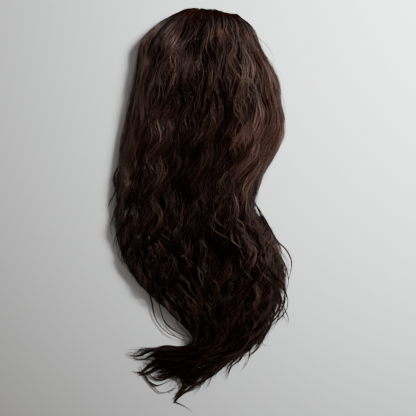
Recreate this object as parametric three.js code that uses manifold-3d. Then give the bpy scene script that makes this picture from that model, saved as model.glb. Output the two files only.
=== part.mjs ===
// A long wavy ponytail hair extension, laid out on a flat surface with its tail swept to one side.
// Wefts of hair are sewn round a shallow elastic cap, whose mouth faces down and takes the wearer's own
// bun. A soft band edges the mouth, and a plain comb inside the front of it slides into the wearer's
// hair. Each weft is one bundle of locks fused to a backing of hair: three cover the cap, and one lies
// beneath them. Sizes are in millimetres. +Z is up, +Y runs from the tail to the front of the crown,
// and the surface is z = 0. The origin is on the surface, at the middle of the whole footprint.

import * as THREE from "three";
import { mergeVertices } from "three/addons/utils/BufferGeometryUtils.js";
import Module from "manifold-3d";

const wasm = await Module();
wasm.setup();

// The cap, with its mouth on the surface, and the band round it
const CAP_RADIUS = 54;
const CAP_HEIGHT = 38;
const CAP_WALL = 1.6;
const BAND_HEIGHT = 9;
const BAND_THICKNESS = 2.4;
const BAND_ROUNDING = 0.7;

// The comb, flat inside the front of the mouth
const COMB_WIDTH = 62;
const COMB_THICKNESS = 2.2;
const COMB_LIFT = 1.5;
const COMB_SPINE = 6;
const TOOTH_COUNT = 12;
const TOOTH_LENGTH = 24;
const TOOTH_WIDTH = 2;

// The hair as it lies: its spread, the length of its footprint, and its cover in front of and over the
// cap
const HAIR_WIDTH = 226;
const HAIR_LENGTH = 506;
const FRONT_COVER = 10;
const TOP_COVER = 14;

// Where the middle of the cap lies, as a share of the hair's spread from its left edge
const CAP_ACROSS = 0.53;

// Its waves: how far they swing across, how often they repeat, how far the edges lag behind the middle,
// and the shares of the hair's run between which they grow
const WAVE_DEPTH = 3.4;
const WAVE_LENGTH = 60;
const WAVE_LAG = 2.6;
const WAVE_START_SHARE = 0.05;
const WAVE_GROWN_SHARE = 0.3;

// How far a lock stands out of its backing, how thick it is where it goes on alone, how thin its tip
// gets, and how thick a loose lock is
const LOCK_RISE = 4.5;
const LOCK_DEPTH = 9;
const TIP_RADIUS = 0.9;
const STRAY_RADIUS = 1.5;

// Shares of its rise by which a lock swells and sinks, and of the run over which it grows out of the
// front
const SWELL_SHARE = 0.25;
const LOCK_GROWN_SHARE = 0.12;

// Shares of its weft's height: where the middle of a lock leaves it, where its tip lies, and where a
// loose lock leaves it
const LOCK_MIDDLE_SHARE = 0.8;
const TIP_MIDDLE_SHARE = 0.4;
const STRAY_ROOT_SHARE = 0.7;

// The gap that two pieces keep where they meet
const FIT_GAP = 0.4;

// Sections across the laid hair, from the front of the crown to the tips. left and right are shares of
// HAIR_WIDTH from the hair's left end, leftDown and rightDown are shares of HAIR_LENGTH from its front
// edge, and rise is a share of the crown's height.
const SECTIONS = [
  { left: 0.4, leftDown: 0.005, right: 0.7, rightDown: 0.012, rise: 0.16 },
  { left: 0.26, leftDown: 0.04, right: 0.78, rightDown: 0.048, rise: 0.68 },
  { left: 0.155, leftDown: 0.092, right: 0.835, rightDown: 0.095, rise: 0.9 },
  { left: 0.13, leftDown: 0.16, right: 0.93, rightDown: 0.16, rise: 1.0 },
  { left: 0.1, leftDown: 0.235, right: 0.975, rightDown: 0.235, rise: 1.0 },
  { left: 0.07, leftDown: 0.31, right: 0.99, rightDown: 0.31, rise: 0.9 },
  { left: 0.04, leftDown: 0.375, right: 0.94, rightDown: 0.37, rise: 0.8 },
  { left: 0.02, leftDown: 0.445, right: 0.85, rightDown: 0.435, rise: 0.74 },
  { left: 0.015, leftDown: 0.51, right: 0.82, rightDown: 0.5, rise: 0.7 },
  { left: 0.03, leftDown: 0.58, right: 0.875, rightDown: 0.56, rise: 0.68 },
  { left: 0.08, leftDown: 0.645, right: 0.95, rightDown: 0.625, rise: 0.65 },
  { left: 0.16, leftDown: 0.705, right: 0.98, rightDown: 0.695, rise: 0.62 },
  { left: 0.295, leftDown: 0.765, right: 0.955, rightDown: 0.765, rise: 0.58 },
  { left: 0.435, leftDown: 0.825, right: 0.885, rightDown: 0.825, rise: 0.54 },
  { left: 0.455, leftDown: 0.856, right: 0.79, rightDown: 0.878, rise: 0.48 },
  { left: 0.385, leftDown: 0.868, right: 0.65, rightDown: 0.918, rise: 0.4 },
  { left: 0.29, leftDown: 0.868, right: 0.53, rightDown: 0.955, rise: 0.32 },
  { left: 0.18, leftDown: 0.875, right: 0.44, rightDown: 0.985, rise: 0.2 },
  { left: 0.05, leftDown: 0.88, right: 0.33, rightDown: 1.012, rise: 0.06 },
];

// The three wefts that show, between the spreads from and to (-1 is the hair's left edge, 1 its right
// edge). Their locks end at shares of the hair's run, staggered between firstTip and lastTip.
const WEFTS = [
  { name: "left_weft_hair", from: -1, to: -0.34, locks: 4, firstTip: 1.0, lastTip: 0.97 },
  { name: "top_weft_hair", from: -0.34, to: 0.3, locks: 4, firstTip: 1.0, lastTip: 0.97 },
  { name: "right_weft_hair", from: 0.3, to: 1, locks: 4, firstTip: 1.0, lastTip: 0.98 },
];

// The weft under them, from behind the cap to the tail. width and height are shares of the whole
// hair's, flat is the share of its own width that is flat on top, and side the share of its own height
// that its sides have.
const UNDER_WEFT = {
  name: "under_weft_hair",
  start: 0.25,
  end: 0.8,
  width: 0.64,
  height: 0.4,
  flat: 0.6,
  side: 0.6,
};

// Loose locks that leave the edge of a weft. start and end are shares of the hair's run, edge is the
// spread where each one leaves, and swing and reach are how far it stands out at its middle and its
// tip, in half spreads.
const STRAYS = [
  { weft: "left_weft_hair", edge: -0.9, start: 0.34, end: 0.6, swing: -0.12, reach: -0.1 },
  { weft: "right_weft_hair", edge: 0.9, start: 0.5, end: 0.68, swing: 0.16, reach: 0.02 },
  { weft: "right_weft_hair", edge: 0.9, start: 0.62, end: 0.79, swing: 0.1, reach: 0.3 },
];

// The shape of a section: how full its top is, the height of its widest place and the inset of its foot
const FULLNESS = 2.3;
const EDGE_RISE = 0.22;
const FOOT_INSET_SHARE = 0.08;

// Shares of the run: where the backing starts to thin out, how far on it does so, where its locks take
// root, and the length over which a tip narrows. The backing keeps the last share of its height at its
// end.
const BACKING_SHARE = 0.94;
const SLOPE_SHARE = 0.012;
const LOCK_ROOT_SHARE = 0.9;
const TIP_SHARE = 0.1;
const END_SHARE = 0.4;

// Facets
const RUN_STEPS = 56;
const LOCK_STEPS = 4;
const LOCK_SIDES = 6;
const CAP_STEPS = 5;
const CAP_SIDES = 32;
const COMB_ARC_STEPS = 8;

const CROWN_HEIGHT = CAP_HEIGHT + TOP_COVER;
const BAND_INSIDE = CAP_RADIUS + FIT_GAP;
const BAND_OUTSIDE = BAND_INSIDE + BAND_THICKNESS;
const CAP_PLACE = new THREE.Vector3(HAIR_WIDTH * CAP_ACROSS, -(FRONT_COVER + BAND_OUTSIDE), 0);

const { clamp, lerp, smoothstep } = THREE.MathUtils;

function edgeCurve(x, down) {
  const points = SECTIONS.map(
    (row) => new THREE.Vector3(row[x] * HAIR_WIDTH, -row[down] * HAIR_LENGTH, row.rise * CROWN_HEIGHT),
  );
  return new THREE.CatmullRomCurve3(points);
}

const leftEdge = edgeCurve("left", "leftDown");
const rightEdge = edgeCurve("right", "rightDown");
const middleLine = new THREE.CatmullRomCurve3(
  SECTIONS.map((row, i) => leftEdge.points[i].clone().lerp(rightEdge.points[i], 0.5).setZ(0)),
);
const RUN_LENGTH = middleLine.getLength();

// The section at a share of the hair's run: its middle, the direction across it, its half width and its
// height.
function sectionAt(run) {
  const t = middleLine.getUtoTmapping(run);
  const left = leftEdge.getPoint(t);
  const right = rightEdge.getPoint(t);
  const height = left.z;
  left.z = 0;
  right.z = 0;
  const middle = left.clone().lerp(right, 0.5);
  const across = right.clone().sub(left).normalize();
  return { run, middle, across, half: left.distanceTo(right) / 2, height };
}

// The sections at every step of the run, from one share of it to another.
function sectionsBetween(start, end) {
  const first = Math.round(start * RUN_STEPS);
  const last = Math.round(end * RUN_STEPS);
  return Array.from({ length: last - first + 1 }, (_, i) => sectionAt((first + i) / RUN_STEPS));
}

// How far a wave has turned at a share of the run, and how far it has carried the hair across.
function waveTurn(run, spread) {
  return (2 * Math.PI * run * RUN_LENGTH) / WAVE_LENGTH + spread * WAVE_LAG;
}

function waveAt(run, spread) {
  return WAVE_DEPTH * smoothstep(run, WAVE_START_SHARE, WAVE_GROWN_SHARE) * Math.sin(waveTurn(run, spread));
}

// The height of the backing at a spread of -1 to 1.
function backingHeight(section, spread) {
  const fall = Math.max(0, 1 - Math.abs(spread) ** FULLNESS) ** (1 / FULLNESS);
  return section.height * Math.max(EDGE_RISE, fall);
}

// The point of a section at a spread, moved across by shift, at height z.
function place(section, spread, shift, z) {
  const across = spread * section.half + shift + waveAt(section.run, spread);
  return section.middle.clone().addScaledVector(section.across, across).setZ(z);
}

// How much of its full thickness a lock still has on its way to its tip.
function taper(run, tip) {
  return 1 - clamp((run - tip) / TIP_SHARE + 1, 0, 1) ** 2;
}

// A closed body through rings of points that all go the same way round, with flat ends.
function loft(rings) {
  const count = rings[0].length;
  const last = (rings.length - 1) * count;
  const index = [];
  for (let ring = 0; ring < last; ring += count) {
    for (let j = 0; j < count; j++) {
      const next = (j + 1) % count;
      index.push(ring + j, ring + next, ring + count + j);
      index.push(ring + next, ring + count + next, ring + count + j);
    }
  }
  for (let j = 1; j < count - 1; j++) {
    index.push(0, j + 1, j);
    index.push(last, last + j, last + j + 1);
  }
  const geometry = new THREE.BufferGeometry().setFromPoints(rings.flat());
  return geometry.setIndex(index);
}

// A closed three.js geometry as a solid, with its faces turned out.
function solidOf(geometry) {
  geometry.deleteAttribute("normal");
  geometry.deleteAttribute("uv");
  const merged = mergeVertices(geometry);
  const vertProperties = merged.attributes.position.array;
  const triVerts = new Uint32Array(merged.index.array);
  const made = new wasm.Manifold(new wasm.Mesh({ numProp: 3, vertProperties, triVerts }));
  if (made.volume() > 0) return made;
  return new wasm.Manifold(new wasm.Mesh({ numProp: 3, vertProperties, triVerts: triVerts.reverse() }));
}

function meshOf(name, solid, material) {
  const { vertProperties, triVerts } = solid.getMesh();
  const geometry = new THREE.BufferGeometry();
  geometry.setAttribute("position", new THREE.BufferAttribute(vertProperties, 3));
  geometry.setIndex(new THREE.BufferAttribute(triVerts, 1));
  geometry.computeVertexNormals();
  const mesh = new THREE.Mesh(geometry, material);
  mesh.name = name;
  return mesh;
}

// How far a weft's top stands out of its backing. along is the share of its width, with a ridge for
// each lock that swells and sinks over two waves, out of step with its neighbours.
function ridgeAt({ locks }, section, spread, along) {
  const turn = waveTurn(section.run, spread) / 2 + 2 * Math.ceil(along * locks);
  const swell = 1 - SWELL_SHARE + SWELL_SHARE * Math.sin(turn);
  const ridge = Math.abs(Math.sin(Math.PI * locks * along));
  return LOCK_RISE * swell * ridge * smoothstep(section.run, 0, LOCK_GROWN_SHARE);
}

// The body of a weft: a slice of the whole hair with a ridge for each lock, and an upright wall where
// it meets the next weft.
function weftBody(weft) {
  const { from, to, locks } = weft;
  const low = from === -1 ? from + FOOT_INSET_SHARE : from;
  const high = to === 1 ? to - FOOT_INSET_SHARE : to;
  const lowShift = from === -1 ? 0 : FIT_GAP / 2;
  const highShift = to === 1 ? 0 : -FIT_GAP / 2;
  const topSteps = locks * LOCK_STEPS;
  const sections = [...sectionsBetween(0, BACKING_SHARE), sectionAt(BACKING_SHARE + SLOPE_SHARE)];
  const rings = sections.map((section, i) => {
    const depth = i < sections.length - 1 ? 1 : END_SHARE;
    const ring = [place(section, low, lowShift, 0)];
    if (from === -1) ring.push(place(section, from, 0, depth * section.height * EDGE_RISE));
    for (let j = 0; j <= topSteps; j++) {
      const along = j / topSteps;
      const spread = lerp(low, high, along);
      const z = backingHeight(section, spread) + ridgeAt(weft, section, spread, along);
      ring.push(place(section, spread, lerp(lowShift, highShift, along), depth * z));
    }
    if (to === 1) ring.push(place(section, to, 0, depth * section.height * EDGE_RISE));
    ring.push(place(section, high, highShift, 0));
    return ring;
  });
  return solidOf(loft(rings));
}

// A lock between two shares of the run. pathAt gives its spread and the height of its middle, radiusAt
// its half width, and its section is round or flattened.
function lock(start, end, pathAt, radiusAt) {
  const rings = sectionsBetween(start, end).map((section) => {
    const { spread, z } = pathAt(section);
    const radius = radiusAt(section);
    const rise = Math.min(radius, LOCK_DEPTH / 2);
    const middle = Math.max(z, rise + FIT_GAP);
    return Array.from({ length: LOCK_SIDES }, (_, k) => {
      const angle = (2 * Math.PI * k) / LOCK_SIDES;
      const around = spread + (radius * Math.cos(angle)) / section.half;
      return place(section, around, 0, middle + rise * Math.sin(angle));
    });
  });
  return solidOf(loft(rings));
}

// The locks of a weft where they leave its backing, side by side, each narrowing to its own tip.
function weftTips({ from, to, locks, firstTip, lastTip }) {
  const pitch = (to - from) / locks;
  return Array.from({ length: locks }, (_, i) => {
    const spread = from + pitch * (i + 0.5);
    const tip = lerp(firstTip, lastTip, i / (locks - 1));
    const pathAt = (section) => {
      const share = lerp(TIP_MIDDLE_SHARE, LOCK_MIDDLE_SHARE, taper(section.run, tip));
      return { spread, z: backingHeight(section, spread) * share };
    };
    const radiusAt = (section) => {
      const full = (pitch * section.half) / 2 - FIT_GAP;
      return Math.max(TIP_RADIUS, full * taper(section.run, tip));
    };
    return lock(LOCK_ROOT_SHARE, tip, pathAt, radiusAt);
  });
}

function strayLock({ edge, start, end, swing, reach }) {
  const pathAt = (section) => {
    const share = (section.run - start) / (end - start);
    const spread = edge + swing * Math.sin(Math.PI * share) + reach * share ** 2;
    return { spread, z: backingHeight(section, edge) * STRAY_ROOT_SHARE * (1 - share) };
  };
  return lock(start, end, pathAt, () => STRAY_RADIUS);
}

// The weft on the surface, or with a margin the room that the others leave for it.
function underWeft(margin) {
  const { start, end, width, height, flat, side } = UNDER_WEFT;
  const rings = sectionsBetween(start, end).map((section, i, all) => {
    const top = section.height * height;
    const onward = margin * (i === 0 ? 1 : i === all.length - 1 ? -1 : 0);
    const back = new THREE.Vector3(-section.across.y, section.across.x, 0).multiplyScalar(onward);
    const corner = (spread, shift, z) => place(section, spread * width, shift * margin, z).add(back);
    return [
      corner(-1, -1, -margin),
      corner(-1, -1, top * side + margin),
      corner(-flat, 0, top + margin),
      corner(flat, 0, top + margin),
      corner(1, 1, top * side + margin),
      corner(1, 1, -margin),
    ];
  });
  return solidOf(loft(rings));
}

// A quarter of an ellipse from the top of the band up to the crown of the cap, as profile points.
function domeProfile(radius, height) {
  return Array.from({ length: CAP_STEPS + 1 }, (_, i) => {
    const angle = (Math.PI / 2) * (i / CAP_STEPS);
    const z = BAND_HEIGHT + (height - BAND_HEIGHT) * Math.sin(angle);
    return new THREE.Vector2(radius * Math.cos(angle), z);
  });
}

// A profile of radius and height, turned round the cap's own axis.
function turned(profile) {
  const lathe = new THREE.LatheGeometry([...profile, profile[0].clone()], CAP_SIDES).rotateX(Math.PI / 2);
  return solidOf(lathe.translate(CAP_PLACE.x, CAP_PLACE.y, CAP_PLACE.z));
}

function capWall() {
  const inside = CAP_RADIUS - CAP_WALL;
  return turned([
    new THREE.Vector2(CAP_RADIUS, 0),
    ...domeProfile(CAP_RADIUS, CAP_HEIGHT),
    ...domeProfile(inside, CAP_HEIGHT - CAP_WALL).reverse(),
    new THREE.Vector2(inside, 0),
  ]);
}

function bandRing() {
  return turned([
    new THREE.Vector2(BAND_INSIDE, 0),
    new THREE.Vector2(BAND_OUTSIDE, 0),
    new THREE.Vector2(BAND_OUTSIDE, BAND_HEIGHT - BAND_ROUNDING),
    new THREE.Vector2(BAND_OUTSIDE - BAND_ROUNDING, BAND_HEIGHT),
    new THREE.Vector2(BAND_INSIDE, BAND_HEIGHT),
  ]);
}

// The room that the hair leaves for the cap and its band.
function capRoom() {
  return turned([
    new THREE.Vector2(0, -FIT_GAP),
    new THREE.Vector2(BAND_OUTSIDE + FIT_GAP, -FIT_GAP),
    new THREE.Vector2(BAND_OUTSIDE + FIT_GAP, BAND_HEIGHT + FIT_GAP),
    ...domeProfile(CAP_RADIUS + FIT_GAP, CAP_HEIGHT + FIT_GAP),
  ]);
}

// The comb: a curved spine that follows the inside of the cap, with a row of straight teeth.
function comb() {
  const flats = Math.cos(Math.PI / CAP_SIDES);
  const seat = (CAP_RADIUS - CAP_WALL) * flats - FIT_GAP;
  const half = COMB_WIDTH / 2;
  const arcY = (x, radius) => Math.sqrt(radius ** 2 - x ** 2);
  const outline = new THREE.Shape();
  outline.moveTo(-half, arcY(half, seat));
  for (let i = 1; i <= COMB_ARC_STEPS; i++) {
    const x = lerp(-half, half, i / COMB_ARC_STEPS);
    outline.lineTo(x, arcY(x, seat));
  }
  const roots = arcY(half, seat) - COMB_SPINE;
  const pitch = (COMB_WIDTH - TOOTH_WIDTH) / (TOOTH_COUNT - 1);
  for (let i = TOOTH_COUNT - 1; i >= 0; i--) {
    const left = -half + i * pitch;
    if (i < TOOTH_COUNT - 1) outline.lineTo(left + TOOTH_WIDTH, roots);
    outline.lineTo(left + TOOTH_WIDTH, roots - TOOTH_LENGTH + TOOTH_WIDTH);
    outline.lineTo(left + TOOTH_WIDTH / 2, roots - TOOTH_LENGTH);
    outline.lineTo(left, roots - TOOTH_LENGTH + TOOTH_WIDTH);
    if (i > 0) outline.lineTo(left, roots);
  }
  outline.closePath();
  const body = new THREE.ExtrudeGeometry(outline, { depth: COMB_THICKNESS, bevelEnabled: false });
  return solidOf(body.translate(CAP_PLACE.x, CAP_PLACE.y, COMB_LIFT));
}

const hairMaterial = new THREE.MeshStandardMaterial({ color: 0x2a1913, roughness: 0.5, metalness: 0 });
const netMaterial = new THREE.MeshStandardMaterial({ color: 0x1c1512, roughness: 0.9, metalness: 0 });
const bandMaterial = new THREE.MeshStandardMaterial({ color: 0x17110f, roughness: 0.85, metalness: 0 });
const combMaterial = new THREE.MeshStandardMaterial({ color: 0x20160f, roughness: 0.4, metalness: 0 });

const group = new THREE.Group();
group.add(meshOf("cap", capWall(), netMaterial));
group.add(meshOf("mouth_band", bandRing(), bandMaterial));
group.add(meshOf("comb", comb(), combMaterial));

const room = capRoom().add(underWeft(FIT_GAP));
for (const weft of WEFTS) {
  const strays = STRAYS.filter((stray) => stray.weft === weft.name).map(strayLock);
  const fused = [...weftTips(weft), ...strays].reduce((body, part) => body.add(part), weftBody(weft));
  group.add(meshOf(weft.name, fused.subtract(room), hairMaterial));
}
group.add(meshOf(UNDER_WEFT.name, underWeft(0), hairMaterial));

const footprint = new THREE.Box3().setFromObject(group);
const centre = footprint.getCenter(new THREE.Vector3());
group.position.set(-centre.x, -centre.y, -footprint.min.z);

export default group;
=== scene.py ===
"""Dresses a long wavy ponytail hair extension that lies on a pale surface, seen from straight above."""

import logging
import math
from collections.abc import Callable
from dataclasses import dataclass, field, replace
from enum import Enum
from typing import NamedTuple

import bmesh
import bpy
import numpy as np
from bpy.types import Light, Material, Mesh, Node, Object
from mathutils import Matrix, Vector
from mathutils.kdtree import KDTree


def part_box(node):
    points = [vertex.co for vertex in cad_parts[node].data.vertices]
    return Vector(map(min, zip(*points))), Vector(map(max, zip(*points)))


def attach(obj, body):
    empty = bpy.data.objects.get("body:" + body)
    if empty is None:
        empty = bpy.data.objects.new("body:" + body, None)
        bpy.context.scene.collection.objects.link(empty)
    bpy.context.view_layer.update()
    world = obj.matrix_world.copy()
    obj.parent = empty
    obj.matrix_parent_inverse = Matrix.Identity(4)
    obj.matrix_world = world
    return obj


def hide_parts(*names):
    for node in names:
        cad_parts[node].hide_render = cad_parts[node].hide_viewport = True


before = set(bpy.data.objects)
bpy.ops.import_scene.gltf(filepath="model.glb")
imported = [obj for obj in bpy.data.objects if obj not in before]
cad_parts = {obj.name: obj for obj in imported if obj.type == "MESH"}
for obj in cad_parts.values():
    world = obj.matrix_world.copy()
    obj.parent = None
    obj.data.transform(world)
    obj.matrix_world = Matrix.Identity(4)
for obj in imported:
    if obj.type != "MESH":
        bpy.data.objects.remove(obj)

Array = np.ndarray
Draw = np.random.Generator
Place = tuple[float, float, float]
Colour = tuple[float, float, float]
Span = tuple[float, float]

LOG = logging.getLogger("ponytail")
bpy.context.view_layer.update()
TAU = 2 * math.pi
MM = 0.001
# The lowest height of any hair over the surface, in metres.
FLOOR = 0.0003
# The side of one square of the picture in metres, and the square that lies at the origin.
SQUARE = 0.0013
PICTURE_MIDDLE = (201.5, 204.0)
# How far the streaks of a tube shift along it and round it with its tone, so that no two tubes match.
STREAK_SHIFTS = (3.7, 11.3)
# The sockets of a node that mixes colours, whose names stand for numbers too.
MIX_SHARE, MIX_FIRST, MIX_SECOND, MIX_RESULT = 0, 6, 7, 2


class Section(NamedTuple):
    """One section across the laid hair, in shares of its width, its length and the crown's height."""

    left: float
    left_down: float
    right: float
    right_down: float
    rise: float


SECTIONS = (
    Section(0.4, 0.005, 0.7, 0.012, 0.16),
    Section(0.26, 0.04, 0.78, 0.048, 0.68),
    Section(0.155, 0.092, 0.825, 0.095, 0.9),
    Section(0.13, 0.16, 0.91, 0.16, 1.0),
    Section(0.1, 0.235, 0.948, 0.235, 1.0),
    Section(0.07, 0.31, 0.957, 0.31, 0.9),
    Section(0.04, 0.375, 0.91, 0.37, 0.8),
    Section(0.02, 0.445, 0.835, 0.435, 0.74),
    Section(0.015, 0.51, 0.8, 0.5, 0.7),
    Section(0.03, 0.58, 0.85, 0.56, 0.68),
    Section(0.08, 0.645, 0.92, 0.625, 0.65),
    Section(0.16, 0.705, 0.94, 0.695, 0.62),
    Section(0.295, 0.765, 0.892, 0.765, 0.58),
    Section(0.435, 0.825, 0.832, 0.825, 0.54),
    Section(0.455, 0.856, 0.757, 0.87, 0.48),
    Section(0.385, 0.868, 0.635, 0.904, 0.4),
    Section(0.29, 0.868, 0.525, 0.942, 0.32),
    Section(0.18, 0.875, 0.435, 0.972, 0.2),
    Section(0.05, 0.88, 0.33, 1.0, 0.06),
)


class Patch(NamedTuple):
    """A place where the hair is heaped up and catches the light, or sinks and lies dark.

    Its place and its reach are in squares of the picture, across and down from its top left corner. The
    hair's tone is painted lighter or darker there too, a painted highlight or a painted shade.
    """

    across: float
    down: float
    reach: float
    rise: float


PATCHES = (
    Patch(221, 32, 10, 1.1),
    Patch(174, 50, 9, 1.0),
    Patch(243, 48, 9, 0.2),
    Patch(191, 72, 12, 0.3),
    Patch(247, 82, 8, 0.35),
    Patch(242, 138, 15, 1.3),
    Patch(246, 195, 8, 0.8),
    Patch(183, 36, 8, -0.8),
    Patch(211, 57, 9, -0.7),
    Patch(258, 59, 8, -1.5),
    Patch(182, 98, 16, -1.0),
    Patch(218, 100, 9, -0.25),
    Patch(182, 178, 26, -0.5),
    Patch(222, 250, 16, -0.5),
)


def patched(points: Array) -> Array:
    """How far the hair is heaped up at points on it, from -1 to 1.

    Args:
        points: The points, in metres.

    Returns:
        A value for each point.
    """
    across = points[..., 0] / SQUARE + PICTURE_MIDDLE[0]
    down = PICTURE_MIDDLE[1] - points[..., 1] / SQUARE
    total = np.zeros(points.shape[:-1])
    for patch in PATCHES:
        away = ((across - patch.across) ** 2 + (down - patch.down) ** 2) / patch.reach**2
        total += patch.rise * np.exp(-away)
    return total


def smoothstep(value: Array, low: float, high: float) -> Array:
    """A smooth ramp from 0 at low to 1 at high."""
    share = np.clip((value - low) / (high - low), 0, 1)
    return share * share * (3 - 2 * share)


class Ramp(NamedTuple):
    """A smooth rise from 0 at a low value to its full height at a high one."""

    low: float
    high: float
    full: float = 1.0

    def of(self, values: Array) -> Array:
        """Its height at values."""
        return self.full * smoothstep(values, self.low, self.high)


class Ripple(NamedTuple):
    """A wave over the whole of the hair.

    Attributes:
        height: How high it is.
        across: How fast it goes on with the angle round the section.
        down: How fast it goes on with the share of the run.
        start: Where in the wave it starts.
    """

    height: float
    across: float
    down: float
    start: float = 0.0

    def at(self, run: Array, angle: Array) -> Array:
        """Its height at places in the hair."""
        return self.height * np.sin(self.across * angle + self.down * run + self.start)


class Parting(NamedTuple):
    """A shallow parting in the front edge: its place across the hair, its width and its depth, in metres."""

    across: float
    width: float
    depth: float

    def at(self, across: Array) -> Array:
        """Its depth at places across the hair."""
        return self.depth * np.exp(-(((across - self.across) / self.width) ** 2))


PARTINGS = (Parting(0.007, 0.005, 0.001), Parting(0.028, 0.006, 0.0006))
PHASES = (Ripple(0.8, 2.2, 3.0, 0.4), Ripple(0.6, 5.0, -6.0, 2.0))
HEAPS_ACROSS = Ripple(1.0, 4.4, -8.0, 0.8)
HEAPS_DOWN = Ripple(1.0, 2.2, 15.0)
HEAPS_SHARE = 0.6
SMALL_HEAPS = Ripple(0.4, 9.0, 21.0)


def unit(vectors: Array) -> Array:
    """The vectors at length one."""
    return vectors / np.maximum(np.linalg.norm(vectors, axis=-1, keepdims=True), 1e-12)


def through(points: Array, t: Array) -> Array:
    """A centripetal curve through points.

    Args:
        points: One row for each point.
        t: Places on the curve, where 1 is the second point.

    Returns:
        One row for each place.
    """
    ends = (2 * points[0] - points[1], 2 * points[-1] - points[-2])
    p = np.vstack((ends[0], points, ends[1]))
    gaps = np.sqrt(np.linalg.norm(np.diff(p, axis=0), axis=1))
    i = np.clip(np.floor(t).astype(int), 0, len(points) - 2)
    share = (t - i)[:, None]
    before, here, after = gaps[i, None], gaps[i + 1, None], gaps[i + 2, None]
    a, b, c, d = p[i], p[i + 1], p[i + 2], p[i + 3]
    leave = ((b - a) / before - (c - a) / (before + here) + (c - b) / here) * here
    meet = ((c - b) / here - (d - b) / (here + after) + (d - c) / after) * here
    square = (3 * (c - b) - 2 * leave - meet) * share**2
    cube = (2 * (b - c) + leave + meet) * share**3
    return b + leave * share + square + cube


def tapered(share: Array, root: Array | float, full: float, tip: Ramp) -> Array:
    """How thick strands are along themselves.

    Args:
        share: Shares of their length.
        root: How thick they are at their roots, as a share.
        full: The share of their length where they are at their thickest.
        tip: Where they thin towards their tips, and how much.

    Returns:
        The thickness at each share, of 1 at the most.
    """
    return (root + (1 - root) * smoothstep(share, 0, full)) * (1 - tip.of(share))


def middle_of(node: str) -> tuple[float, float]:
    """The middle of a CAD node, on the surface that it lies on."""
    low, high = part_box(node)
    return ((low[0] + high[0]) / 2, (low[1] + high[1]) / 2)


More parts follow.
